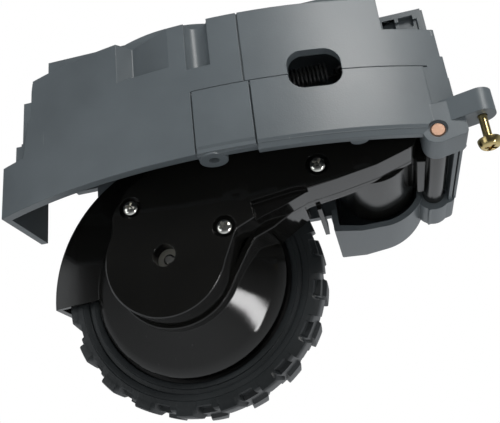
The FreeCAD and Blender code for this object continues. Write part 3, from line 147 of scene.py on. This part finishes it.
# Plain pale floor that the wheel stands on, seen from above only, so that the view from below the
# floor's level stays open.
FLOOR_REACH = 2.0
floor_mesh = bpy.data.meshes.new("floor")
floor_shape = bmesh.new()
bmesh.ops.create_grid(
    floor_shape, x_segments=1, y_segments=1, size=FLOOR_REACH, matrix=Matrix.Translation((0, 0, FLOOR_Z)))
floor_shape.to_mesh(floor_mesh)
floor_shape.free()
floor = bpy.data.objects.new("floor", floor_mesh)
bpy.context.scene.collection.objects.link(floor)
paper = bpy.data.materials.new("floor")
paper.use_nodes = True
tree = paper.node_tree
tree.nodes["Principled BSDF"].inputs["Base Color"].default_value = (0.93, 0.93, 0.93, 1)
tree.nodes["Principled BSDF"].inputs["Roughness"].default_value = 0.8
underside = tree.nodes.new("ShaderNodeNewGeometry")
clear = tree.nodes.new("ShaderNodeBsdfTransparent")
either = tree.nodes.new("ShaderNodeMixShader")
tree.links.new(underside.outputs["Backfacing"], either.inputs[0])
tree.links.new(tree.nodes["Principled BSDF"].outputs[0], either.inputs[1])
tree.links.new(clear.outputs[0], either.inputs[2])
tree.links.new(either.outputs[0], tree.nodes["Material Output"].inputs["Surface"])
floor_mesh.materials.append(paper)
floor.visible_glossy = False

# Housing: one injection moulding in blue-grey ABS with a fine satin grain and light scuffs. Its
# left end is open inboard, its right end steps down with room for the raised arm, and a slotted
# bracket stands on the step.
CLOUD_SCALE = 45
SCUFF_TURN = (0.3, 0.8, 0.2)
SCUFF_SCALE = (900, 900, 28)
SCUFF_COLOUR = (0.5, 0.5, 0.48, 1)


def moulded(name, colour, roughness, grain, grain_depth, edge=0.00025, tone=0.12, metallic=0.0, scuff=0.0):
    """Moulded or turned surface: fine grain, cloudy tone, uneven gloss, softened edges, hairline scuffs."""
    material = bpy.data.materials.new(name)
    material.use_nodes = True
    tree = material.node_tree
    shader = tree.nodes["Principled BSDF"]
    shader.inputs["Metallic"].default_value = metallic
    place = tree.nodes.new("ShaderNodeTexCoord")
    cloud = tree.nodes.new("ShaderNodeTexNoise")
    cloud.inputs["Scale"].default_value = CLOUD_SCALE
    cloud.inputs["Detail"].default_value = 5
    tree.links.new(place.outputs["Object"], cloud.inputs["Vector"])
    tint = tree.nodes.new("ShaderNodeValToRGB")
    tint.color_ramp.elements[0].position = 0.3
    tint.color_ramp.elements[0].color = [channel * (1 - tone) for channel in colour] + [1]
    tint.color_ramp.elements[1].position = 0.7
    tint.color_ramp.elements[1].color = [min(1, channel * (1 + tone)) for channel in colour] + [1]
    tree.links.new(cloud.outputs["Fac"], tint.inputs["Fac"])
    paint = tint.outputs["Color"]
    if scuff:
        stretch = tree.nodes.new("ShaderNodeMapping")
        stretch.inputs["Rotation"].default_value = SCUFF_TURN
        stretch.inputs["Scale"].default_value = SCUFF_SCALE
        tree.links.new(place.outputs["Object"], stretch.inputs["Vector"])
        hairs = tree.nodes.new("ShaderNodeTexNoise")
        hairs.inputs["Scale"].default_value = 1.0
        tree.links.new(stretch.outputs["Vector"], hairs.inputs["Vector"])
        few = tree.nodes.new("ShaderNodeMapRange")
        few.inputs["From Min"].default_value = 0.74
        few.inputs["From Max"].default_value = 0.80
        few.inputs["To Max"].default_value = scuff
        tree.links.new(hairs.outputs["Fac"], few.inputs["Value"])
        scraped = tree.nodes.new("ShaderNodeMix")
        scraped.data_type = "RGBA"
        scraped.inputs["B"].default_value = SCUFF_COLOUR
        tree.links.new(few.outputs["Result"], scraped.inputs["Factor"])
        tree.links.new(paint, scraped.inputs["A"])
        paint = scraped.outputs["Result"]
    tree.links.new(paint, shader.inputs["Base Color"])
    gloss = tree.nodes.new("ShaderNodeMapRange")
    gloss.inputs["To Min"].default_value = roughness * 0.8
    gloss.inputs["To Max"].default_value = roughness * 1.25
    tree.links.new(cloud.outputs["Fac"], gloss.inputs["Value"])
    tree.links.new(gloss.outputs["Result"], shader.inputs["Roughness"])
    fine = tree.nodes.new("ShaderNodeTexNoise")
    fine.inputs["Scale"].default_value = grain
    fine.inputs["Detail"].default_value = 3
    tree.links.new(place.outputs["Object"], fine.inputs["Vector"])
    bump = tree.nodes.new("ShaderNodeBump")
    bump.inputs["Strength"].default_value = 0.5
    bump.inputs["Distance"].default_value = grain_depth
    tree.links.new(fine.outputs["Fac"], bump.inputs["Height"])
    if edge:
        rounded = tree.nodes.new("ShaderNodeBevel")
        rounded.samples = 4
        rounded.inputs["Radius"].default_value = edge
        tree.links.new(rounded.outputs["Normal"], bump.inputs["Normal"])
    tree.links.new(bump.outputs["Normal"], shader.inputs["Normal"])
    return material


def dress(material, *names):
    """Give CAD nodes their material."""
    for name in names:
        nodes[name].data.materials.clear()
        nodes[name].data.materials.append(material)


def loose(shape):
    """A working object from a bmesh, which is used up."""
    bmesh.ops.remove_doubles(shape, verts=shape.verts, dist=2e-6)
    bmesh.ops.recalc_face_normals(shape, faces=shape.faces)
    mesh = bpy.data.meshes.new("work")
    shape.to_mesh(mesh)
    shape.free()
    piece = bpy.data.objects.new("work", mesh)
    bpy.context.scene.collection.objects.link(piece)
    return piece


def carve(shape, tools, operation="DIFFERENCE"):
    """The shape with every tool taken out of it, or joined to it, as a new bmesh."""
    body = loose(shape)
    working = [body]
    for tool in tools:
        working.append(loose(tool))
        step = body.modifiers.new("step", "BOOLEAN")
        step.operation = operation
        step.solver = "EXACT"
        step.object = working[-1]
    bpy.context.view_layer.update()
    done = body.evaluated_get(bpy.context.evaluated_depsgraph_get())
    result = bmesh.new()
    result.from_mesh(done.to_mesh())
    done.to_mesh_clear()
    for item in working:
        bpy.data.meshes.remove(item.data)
    return result


def bar(turned_place, size):
    """Block of a size in millimetres, about a turned place."""
    shape = bmesh.new()
    scale = Matrix.Diagonal((*[length * MM for length in size], 1))
    bmesh.ops.create_cube(shape, size=1, matrix=turned_place @ scale)
    return shape


def block(x0, x1, y0, y1, z0, z1):
    """Upright block between two corners."""
    middle = Matrix.Translation(at((x0 + x1) / 2, (y0 + y1) / 2, (z0 + z1) / 2))
    return bar(middle, (x1 - x0, y1 - y0, z1 - z0))


def keep(shape, name, material, slot, body, *replaced, crease=32):
    """Finish a bmesh as a piece that rides on a body and stands for its CAD nodes."""
    bmesh.ops.remove_doubles(shape, verts=shape.verts, dist=1e-6)
    bmesh.ops.dissolve_degenerate(shape, edges=shape.edges, dist=1e-7)
    bmesh.ops.recalc_face_normals(shape, faces=shape.faces)
    for face in shape.faces:
        face.smooth = True
        face.material_index = 0
    mesh = bpy.data.meshes.new(name)
    shape.to_mesh(mesh)
    shape.free()
    if "custom_normal" in mesh.attributes:
        mesh.attributes.remove(mesh.attributes["custom_normal"])
    mesh.set_sharp_from_angle(angle=math.radians(crease))
    mesh.materials.append(material)
    piece = bpy.data.objects.new(name, mesh)
    bpy.context.scene.collection.objects.link(piece)
    shading = piece.modifiers.new("shading", "WEIGHTED_NORMAL")
    shading.keep_sharp = True
    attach(piece, body)
    if replaced:
        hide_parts(*replaced)
    return piece


HOUSING_CUTS = {
    "left step": (-60, -33.2, -20, 5.7, 42.7, 70),
    "open left end": (-60, -34.0, 20, 70, -20, 42),
    "right step": (61.3, 90, -20, 10.0, 45.6, 70),
    "right side": (74.7, 95, 4.2, 80, -20, 70)}
STEP_WALLS = (
    (59.5, 61.3, -4.4, -2.6, 44.0, 54.9), (59.5, 61.3, -4.4, 12.2, 50.4, 54.9),
    (59.5, 61.3, -0.8, 12.2, 50.4, 61.3), (61.1, 66.5, -4.2, -2.6, 43.8, 45.6),
    (66.3, 68.3, -1.8, 0.2, 43.8, 45.6), (68.1, 73.4, -1.8, 12.2, 43.8, 45.6),
    (61.5, 74.4, 10.6, 12.4, 43.9, 61.3), (61.1, 62.0, 10.6, 12.4, 50.4, 61.3))
BRACKET_SLOTS = ((63.2, 66.6, 10, 11.6, 56.6, 59.8), (67.6, 71.4, 10, 11.6, 56.6, 59.8))
housing_grey = moulded("housing_grey", (0.108, 0.126, 0.137), 0.36, 2600, 0.00004, scuff=0.35)
housing_shape = bmesh.new()
housing_shape.from_mesh(nodes["wheel_well_housing"].data)
housing_shape = carve(housing_shape, [block(*cut) for cut in HOUSING_CUTS.values()])
housing_shape = carve(housing_shape, [block(*wall) for wall in STEP_WALLS], "UNION")
housing_shape = carve(housing_shape, [block(*slot) for slot in BRACKET_SLOTS])
keep(housing_shape, "housing_moulding", housing_grey, "housing_plastic", "housing", "wheel_well_housing",
     crease=14)

# Pivot pin: the arm swings on it. A turned steel pin with a copper-coloured flash on its sawn end,
# held in the housing's ears.
pin_copper = moulded("pin_copper", (0.50, 0.31, 0.22), 0.38, 1500, 0.00006, edge=0.0002, metallic=0.75)
dress(pin_copper, "pivot_pin")

# Captive screws: yellow zinc plated steel, with a rolled thread at the top, a bare waist and a
# rounded head with a cross recess below. They hang loose in their lugs.
zinc = moulded("yellow_zinc", (0.66, 0.52, 0.24), 0.22, 900, 0.00003, edge=0.00008, tone=0.25, metallic=1.0)
SCREW_HEAD_R = 2.6
SCREW_HEAD_H = 2.1
SCREW_WAIST_R = 1.0
SCREW_THREAD_R = 1.45
SCREW_THREAD_AT = 7.8
SCREW_PITCH = 0.8
SCREW_SIDES = 28
SCREW_TIP_R = 0.8
SCREW_RIDGE = 0.34
SCREW_CROSS = (3.0, 0.75, 2.2)
SCREW_CROSS_TURN = 0.35
RING_STEPS = 8


def screw_radius(height, turn):
    """Radius of a captive screw at a height over its head's seat, and at a share of a turn."""
    if height < 0:
        rise = 1 + height / SCREW_HEAD_H
        return SCREW_HEAD_R * (0.62 + 0.38 * math.sqrt(rise * (2 - rise)))
    if height < SCREW_THREAD_AT:
        return SCREW_WAIST_R
    ridge = abs((height / SCREW_PITCH + turn) % 1 - 0.5) * 2
    return SCREW_THREAD_R - SCREW_RIDGE * ridge


def bridged(rings):
    """Closed solid through rings of points, with a face over each end."""
    shape = bmesh.new()
    loops = []
    for ring in rings:
        corners = [shape.verts.new(point) for point in ring]
        loops.append([shape.edges.new(pair) for pair in zip(corners, corners[1:] + corners[:1])])
    for lower, upper in zip(loops, loops[1:]):
        bmesh.ops.bridge_loops(shape, edges=lower + upper)
    bmesh.ops.holes_fill(shape, edges=shape.edges[:], sides=0)
    return shape


def captive_screw(node, body):
    """The screw that stands for a CAD node: its rings from head to tip, with a cross recess."""
    low, high = [Vector(corner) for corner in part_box(node)]
    middle = (low + high) / 2
    length = (high.z - low.z) / MM - SCREW_HEAD_H
    heights = [-SCREW_HEAD_H + step * SCREW_HEAD_H / RING_STEPS for step in range(RING_STEPS)]
    heights += [-0.02, 0.0, SCREW_THREAD_AT - 0.01]
    steps = int((length - 0.4 - SCREW_THREAD_AT) / SCREW_PITCH * RING_STEPS)
    heights += [SCREW_THREAD_AT + step * SCREW_PITCH / RING_STEPS for step in range(steps)]
    turns = [side / SCREW_SIDES for side in range(SCREW_SIDES)]
    rows = [(low.z + (height + SCREW_HEAD_H) * MM, [screw_radius(height, turn) for turn in turns])
            for height in heights]
    rows.append((high.z, [SCREW_TIP_R] * SCREW_SIDES))
    shape = bridged([[(
        middle.x + radius * MM * math.cos(2 * math.pi * turn),
        middle.y + radius * MM * math.sin(2 * math.pi * turn), z) for radius, turn in zip(radii, turns)]
        for z, radii in rows])
    head = Matrix.Translation((middle.x, middle.y, low.z))
    slots = [bar(head @ Matrix.Rotation(turn, 4, "Z"), SCREW_CROSS)
             for turn in (SCREW_CROSS_TURN, SCREW_CROSS_TURN + math.pi / 2)]
    keep(carve(shape, slots), node + "_turned", zinc, "zinc_screw", body, node, crease=40)


captive_screw("captive_screw_outer", "screw_outer")
captive_screw("captive_screw_left", "screw_left")
captive_screw("captive_screw_right", "screw_right")

# Suspension spring: close-wound blackened spring wire between the wall's post and the arm's post,
# hooked round each. Its coils glint in the dark behind the window.
SPRING_FROM = (11.5, -4.6, 38.8)
SPRING_TO = (50.5, -1.0, 40.4)
SPRING_HOOK = 4.2
SPRING_MEAN_R = 2.15
SPRING_WIRE_R = 0.35
SPRING_TURNS = 30
SPRING_HOOK_R = 1.7
SPRING_STEPS = 16
SPRING_HOOK_STEPS = 12
spring_start = at(*SPRING_FROM)
spring_way = at(*SPRING_TO) - spring_start
spring_turn = spring_way.to_track_quat("Z", "Y").to_matrix()
spring_length = spring_way.length / MM


def spring_points():
    """The wire's middle line along the spring's own axis: hook, coils, hook."""
    points = []
    for step in range(SPRING_HOOK_STEPS + 1):
        angle = math.pi * (0.5 + 1.5 * step / SPRING_HOOK_STEPS)
        points.append((SPRING_HOOK_R * math.cos(angle), 0, -SPRING_HOOK_R * math.sin(angle)))
    coiled = spring_length - 2 * SPRING_HOOK
    for step in range(SPRING_TURNS * SPRING_STEPS + 1):
        angle = 2 * math.pi * step / SPRING_STEPS
        points.append((SPRING_MEAN_R * math.cos(angle), SPRING_MEAN_R * math.sin(angle),
                       SPRING_HOOK + coiled * step / (SPRING_TURNS * SPRING_STEPS)))
    for step in range(SPRING_HOOK_STEPS + 1):
        angle = math.pi * 1.5 * step / SPRING_HOOK_STEPS
        points.append((SPRING_HOOK_R * math.cos(angle), 0, spring_length - SPRING_HOOK_R * math.sin(angle)))
    return points


spring_curve = bpy.data.curves.new("spring_coil", "CURVE")
spring_curve.dimensions = "3D"
spring_curve.bevel_depth = SPRING_WIRE_R * MM
spring_curve.bevel_resolution = 2
spring_curve.use_fill_caps = True
line = spring_curve.splines.new("POLY")
route = spring_points()
line.points.add(len(route) - 1)
for point, place in zip(line.points, route):
    point.co = (*(spring_start + spring_turn @ (Vector(place) * MM)), 1)
spring_line = bpy.data.objects.new("work", spring_curve)
bpy.context.scene.collection.objects.link(spring_line)
bpy.context.view_layer.update()
spring_mesh = bpy.data.meshes.new_from_object(
    spring_line.evaluated_get(bpy.context.evaluated_depsgraph_get()))
bpy.data.curves.remove(spring_curve)
spring_piece = bpy.data.objects.new("spring_coil", spring_mesh)
bpy.context.scene.collection.objects.link(spring_piece)
spring_mesh.materials.clear()
spring_mesh.materials.append(
    moulded("spring_wire", (0.05, 0.05, 0.05), 0.3, 600, 0.00002, edge=0, metallic=0.6))
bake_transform(spring_piece)
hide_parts("suspension_spring")

# Gearbox cover: polished black moulding with a crisp rounded edge, held by three screws. Its face
# falls back a little right of a crease, the corner beside the wheel lies a step lower, and an ear
# above carries the spring's post.
COVER_R = 15.4
COVER_FROM_DEG = 149
COVER_TO_DEG = 345
COVER_DEPTH = 8.5
COVER_HOLLOW_FROM = 4.0
AXLE_HOLE_R = 2.9
SCREW_RECESS_R = 2.9
SPRING_POST_R = 1.2
ARC_STEPS = 72
SCREWS = ((-8.2, 14.2), (15.5, 4.6), (40.0, 16.1))
COVER_WALL = 1.6
CREASE_AT = (34.5, 0, 16.1)
CREASE_LEAN_DEG = -25
CREASE_FALL_DEG = 2.2
CREASE_CUT = (100, 10, 90)
SCOOP = ((22.7, 9.9), (23.4, 2.0), (37.0, 2.0), (36.6, 11.0), (33.6, 11.3))
HOOK_EAR = ((46.5, 34.0), (54.5, 34.0), (53.0, 42.0), (48.0, 42.0))
ARM = [
    (18.2, 3.4, 3.0), (24.6, 6.2, 2.0), (30.0, 7.9, 3.0), (36.0, 10.3, 4.0), (44.0, 11.4, 10.0),
    (54.0, 13.3, 10.0), (63.3, 16.4, 3.0), (65.7, 21.8, 3.0), (65.7, 36.7, 11.4), (37.5, 36.7, 12.0),
    (18.6, 33.0, 10.0), (4.2, 27.3, 6.0), (-9.0, 19.6, 3.8), (-13.2, 13.2, 3.0)]
CORNER_STEPS = 8


def smooth_corners(corners):
    """Outline round (x, z, radius) corners; one without a radius is only the end of its tangents."""
    points = []
    for index, (x, z, radius) in enumerate(corners):
        corner = Vector((x, z))
        if radius == 0:
            continue
        before = (Vector(corners[index - 1][:2]) - corner).normalized()
        after = (Vector(corners[(index + 1) % len(corners)][:2]) - corner).normalized()
        half = before.angle(after) / 2
        centre = corner + (before + after).normalized() * (radius / math.sin(half))
        first = (corner + before * (radius / math.tan(half)) - centre).normalized()
        last = (corner + after * (radius / math.tan(half)) - centre).normalized()
        for step in range(CORNER_STEPS + 1):
            points.append(centre + first.slerp(last, step / CORNER_STEPS) * radius)
    return points


def arc(radius, start, end, count):
    """Points on a circle round the axle, from one angle to another in degrees."""
    angles = [math.radians(start + (end - start) * step / count) for step in range(count + 1)]
    return [Vector((radius * math.cos(angle), radius * math.sin(angle))) for angle in angles]


def inset(points, depth):
    """The outline moved inwards by a depth, for edges and walls."""
    moved = []
    for index, point in enumerate(points):
        along = (points[(index + 1) % len(points)] - points[index - 1]).normalized()
        moved.append(point + Vector((-along.y, along.x)) * depth)
    return moved


def tower(points, levels):
    """Closed solid on an outline in the XZ plane: at each (y, inset) level the outline is set in."""
    return bridged([[at(x, y, z) for x, z in inset(points, depth)] for y, depth in levels])


def post(x, z, y0, y1, radius, sides=40):
    """Round post, or the cutter for a round hole, along Y."""
    points = [Vector((x, z)) + spoke for spoke in arc(radius, 0, 360 - 360 / sides, sides - 1)]
    return tower(points, [(y0, 0), (y1, 0)])


polished = moulded("polished_black", (0.0065, 0.0064, 0.0058), 0.10, 300, 0.000008, tone=0.2, scuff=0.10)
cover_start = arc(COVER_R, COVER_FROM_DEG, COVER_TO_DEG, ARC_STEPS)
cover_outline = cover_start + smooth_corners([(*cover_start[-1], 0)] + ARM + [(*cover_start[0], 0)])
cover_shape = tower(cover_outline, [(0, 0.45), (0.12, 0.16), (0.4, 0), (COVER_DEPTH, 0)])
crease = bar(
    Matrix.Translation(at(*CREASE_AT)) @ Matrix.Rotation(math.radians(CREASE_LEAN_DEG), 4, "Y")
    @ Matrix.Rotation(math.radians(CREASE_FALL_DEG), 4, "Z")
    @ Matrix.Translation((CREASE_CUT[0] / 2 * MM, -CREASE_CUT[1] / 2 * MM, 0)), CREASE_CUT)
scoop = tower([Vector(corner) for corner in SCOOP], [(-1, 0), (2.4, 0)])
hook_ear = tower([Vector(corner) for corner in HOOK_EAR], [(0.6, 0), (3.6, 0)])
cover_tools = [crease, scoop, post(0, 0, -1, 6, AXLE_HOLE_R)]
cover_tools += [post(x, z, -1, 1.5, SCREW_RECESS_R) for x, z in SCREWS]
cover_tools.append(tower(inset(cover_outline, COVER_WALL), [(COVER_HOLLOW_FROM, 0), (COVER_DEPTH + 1, 0)]))
spring_post = post(SPRING_TO[0], SPRING_TO[2], -1.8, 2.0, SPRING_POST_R)
cover_shape = carve(carve(cover_shape, cover_tools), [hook_ear, spring_post], "UNION")
keep(cover_shape, "gearbox_cover_moulding", polished, "black_gloss", "arm", "gearbox_cover", crease=26)

# Gearbox case: the same polished black. Plain walls run back from the cover to the wheel, a dished
# shield fills the wheel's mouth and a sickle-shaped fender covers the tyre on the left.
CASE_R = 16.3
CASE_FROM_DEG = 149
CASE_TO_DEG = 333
CASE_BACK = 20.8
CASE_FLOOR = 1.6
AXLE_BORE_R = 3.4
SCREW_BORE_R = 1.0
CASE_WALL = 1.6
SHIELD_DISH = (
    (15.9, 11.9), (20.0, 15.1), (24.0, 18.0), (25.6, 19.3), (26.5, 20.6), (26.5, 21.6), (24.6, 20.6),
    (20.0, 17.0), (15.9, 13.9), (15.9, 11.9))
FENDER_RING = (
    (15.0, 20.0), (38.6, 20.0), (39.1, 20.5), (39.1, 30.0), (37.6, 30.0), (37.6, 21.5), (15.0, 21.5),
    (15.0, 20.0))
FENDER_FROM_DEG = 96
FENDER_TO_DEG = 184


def spun(profile, x=0, z=0, start=0, end=360, steps=96):
    """Surface spun about an axis along Y from the edges between (radius, y) points."""
    shape = bmesh.new()
    angle = math.radians(start)
    points = [shape.verts.new(at(x + radius * math.cos(angle), y, z + radius * math.sin(angle)))
              for radius, y in profile]
    edges = [shape.edges.new(pair) for pair in zip(points, points[1:])]
    bmesh.ops.spin(
        shape, geom=points + edges, cent=at(x, 0, z), axis=(0, -1, 0), angle=math.radians(end - start),
        steps=steps, use_merge=end - start == 360)
    bmesh.ops.remove_doubles(shape, verts=shape.verts, dist=1e-6)
    return shape


CASE = [
    (17.9, -1.6, 3.0), (21.2, 3.4, 3.0), (26.4, 5.4, 4.0), (30.7, 8.0, 2.0), (35.0, 10.8, 2.0),
    (35.0, 31.0, 2.0), (18.6, 33.0, 10.0), (4.2, 27.3, 6.0), (-8.0, 20.2, 4.6), (-13.4, 14.6, 3.4)]
NECK_LEVELS = ((8.5, 0.3), (8.8, 0), (10.2, 0), (10.4, 0.9), (14.2, 0.9), (14.5, 1.2))
NECK_RIB = (37.3, 38.5, 14, 33.5, 10.0, 13.5)
case_start = arc(CASE_R, CASE_FROM_DEG, CASE_TO_DEG, ARC_STEPS)
case_outline = case_start + smooth_corners([(*case_start[-1], 0)] + CASE + [(*case_start[0], 0)])
neck_outline = smooth_corners([(20.0, 6.4, 1.0)] + ARM[1:10] + [(20.0, 33.4, 1.0)])
case_shape = tower(case_outline, [(COVER_DEPTH, 0.25), (COVER_DEPTH + 0.25, 0), (CASE_BACK, 0)])
fender = spun(FENDER_RING, start=FENDER_FROM_DEG, end=FENDER_TO_DEG, steps=48)
bmesh.ops.holes_fill(fender, edges=fender.edges[:], sides=0)
case_shape = carve(case_shape, [
    tower(neck_outline, NECK_LEVELS), block(*NECK_RIB), spun(SHIELD_DISH), fender], "UNION")
case_shape = carve(case_shape, [
    tower(inset(case_outline, CASE_WALL), [(COVER_DEPTH - 0.5, 0), (CASE_BACK - CASE_FLOOR, 0)]),
    post(*SCREWS[2], 8, 15, SCREW_BORE_R), post(0, 0, 8, 30, AXLE_BORE_R)])
keep(case_shape, "gearbox_case_moulding", polished, "black_gloss", "arm", "gearbox_case", crease=26)

# Motor carrier: the sleeve that holds the motor, its web and the barrel on the pivot pin, in one
# moulding of the same polished black.
carrier_black = moulded("carrier_black", (0.0085, 0.0085, 0.0078), 0.16, 900, 0.00001, tone=0.2, scuff=0.10)
dress(carrier_black, "motor_carrier")

# Tyre: soft dark rubber. The sidewall has bead rings. Each shoulder has raised blocks with pockets
# between them that open to the side, and the far side's pattern lies half a pitch round.
TYRE_MIDDLE = 7.2
BLOCKS = 19
FIRST_BLOCK_DEG = -26.2
CHEVRON_DEG = 2.4
SIDE_ROWS = (
    (27.4, 1.2), (27.5, 0.7), (27.9, 0.45), (28.9, 0.35), (29.1, 0.75), (30.2, 0.8), (30.4, 0.3),
    (31.0, 0.05), (31.9, 0.0), (32.0, 0.12), (32.15, 0.0), (33.3, 0.05))
PLAIN_ROWS = (
    (33.6, 0.15), (34.3, 0.35), (34.7, 0.9), (34.9, 1.6), (34.95, 2.9), (35.0, 3.3), (35.0, 5.0), (35.0, 6.5))
BLOCK_ROWS = (
    (33.7, 0.05), (34.9, 0.02), (35.6, 0.25), (35.95, 0.8), (36.0, 2.9), (36.0, 3.3), (36.0, 5.0), (35.95, 6.3))
POCKET_ROWS = (
    (33.5, 0.25), (33.5, 0.7), (33.45, 1.4), (33.5, 2.2), (33.7, 3.0), (34.9, 3.5), (35.0, 5.0), (35.0, 6.5))
TREAD_R = 35.0
BLOCK_SHARES = (0.04, 0.07, 0.17, 0.30, 0.38, 0.42)
POCKET_SHARES = (0.53, 0.55, 0.64, 0.75, 0.84, 0.86)
PLAIN_SHARES = (0.0, 0.46, 0.50, 0.90)


def tread_rows(share):
    """Shoulder and tread of one side at a share of the pitch: a block, a pocket or plain tread."""
    if BLOCK_SHARES[0] - 0.001 <= share <= BLOCK_SHARES[-1] + 0.001:
        return BLOCK_ROWS
    if POCKET_SHARES[0] - 0.001 <= share <= POCKET_SHARES[-1] + 0.001:
        return POCKET_ROWS
    return PLAIN_ROWS


near_shares = BLOCK_SHARES + POCKET_SHARES + PLAIN_SHARES
far_shares = [(share + 0.5) % 1 for share in near_shares]
tyre_shares = sorted({round(share, 3) for share in (*near_shares, *far_shares)})
tyre_shape = bmesh.new()
tyre_columns = []
for pitch in range(BLOCKS):
    for share in tyre_shares:
        angle = math.radians(FIRST_BLOCK_DEG + (pitch + share) * 360 / BLOCKS)
        near = [(radius, depth) for radius, depth in SIDE_ROWS + tread_rows(share)]
        far = [(radius, 2 * TYRE_MIDDLE - depth)
               for radius, depth in SIDE_ROWS + tread_rows((share + 0.5) % 1)]
        column = []
        for radius, depth in near + [(TREAD_R, TYRE_MIDDLE)] + far[::-1]:
            lean = math.radians(CHEVRON_DEG) * (1 - abs(depth - TYRE_MIDDLE) / TYRE_MIDDLE)
            column.append(tyre_shape.verts.new(at(
                radius * math.cos(angle + lean), TYRE_NEAR + depth, radius * math.sin(angle + lean))))
        tyre_columns.append(column)
for here, there in zip(tyre_columns, tyre_columns[1:] + tyre_columns[:1]):
    for index in range(len(here)):
        following = (index + 1) % len(here)
        tyre_shape.faces.new((here[index], here[following], there[following], there[index]))
rubber = moulded("tyre_rubber", (0.021, 0.025, 0.027), 0.42, 1100, 0.00012, edge=0.0001, tone=0.3)
keep(tyre_shape, "tyre_moulding", rubber, "tyre_rubber", "wheel", "tyre", crease=38)

# Wheel rim: plain black moulding that the tyre is stretched over, with its hub and six lightening
# holes. It sits on the wheel's shaft.
dress(moulded("rim_black", (0.012, 0.012, 0.012), 0.4, 1500, 0.00005), "wheel_rim")

# Cross-head screws and turned steel pieces: nickel-bright heads that hold the cover, the threaded
# end of the axle in the cover's hole, ground shafts and pins.
nickel = moulded(
    "bright_nickel", (0.80, 0.79, 0.74), 0.16, 700, 0.00002, edge=0.00006, tone=0.1, metallic=1.0)
dress(nickel, "hub_screw")
HEAD = (
    (0.0, -0.55), (0.9, -0.52), (1.6, -0.30), (2.05, 0.15), (2.15, 0.75), (2.15, 1.5), (0.9, 1.5),
    (0.9, 12.7), (0.0, 13.0))
HEAD_CROSS = (2.5, 1.6, 0.62)
HEAD_TURNS_DEG = (20, 62, 40)
for index, ((x, z), turn) in enumerate(zip(SCREWS, HEAD_TURNS_DEG)):
    head = Matrix.Translation(at(x, 0, z))
    cross = [bar(head @ Matrix.Rotation(math.radians(quarter), 4, "Y"), HEAD_CROSS)
             for quarter in (turn, turn + 90)]
    keep(carve(spun(HEAD, x, z, steps=36), cross), "gearbox_screw_%d" % (index + 1), nickel,
         "silver_screw", "arm", "gearbox_screws", crease=36)
stud = [(0.0, 3.6), (1.0, 3.6)]
for turn in range(5):
    stud += [(1.45, 3.9 + 0.4 * turn), (1.15, 4.1 + 0.4 * turn)]
keep(spun(stud + [(1.15, 6.0), (0.0, 6.0)], steps=36), "axle_thread", nickel, "silver_screw", "wheel")
dress(moulded("ground_steel", (0.5, 0.5, 0.5), 0.3, 900, 0.00002, edge=0.0001, tone=0.1, metallic=1.0),
      "gear_pins", "wheel_shaft", "hub_washer", "motor_shaft", "motor_can", "plug_contacts")

# Gear train: a brass pinion pressed on the motor's shaft, and natural acetal gears moulded in one
# piece each, which turn on the pins.
brass = moulded("pinion_brass", (0.6, 0.42, 0.16), 0.3, 900, 0.00003, edge=0.0001, metallic=1.0)
dress(brass, "motor_pinion")
dress(moulded("natural_acetal", (0.72, 0.70, 0.62), 0.4, 1200, 0.00004),
      "gear_1", "gear_2", "gear_3", "gear_4", "output_gear")

# Motor's rear end and the plug: a black end cap, the black encoder disc on the motor's shaft, its
# green board, and the natural nylon block that holds the plug's contacts.
dress(moulded("cap_black", (0.02, 0.02, 0.02), 0.5, 1500, 0.00004), "motor_end_cap")
dress(moulded("disc_black", (0.025, 0.025, 0.025), 0.4, 1500, 0.00004), "encoder_disc")
dress(moulded("board_green", (0.02, 0.11, 0.05), 0.35, 800, 0.00003), "encoder_board")
dress(moulded("natural_nylon", (0.74, 0.70, 0.58), 0.45, 1200, 0.00004), "plug_block")
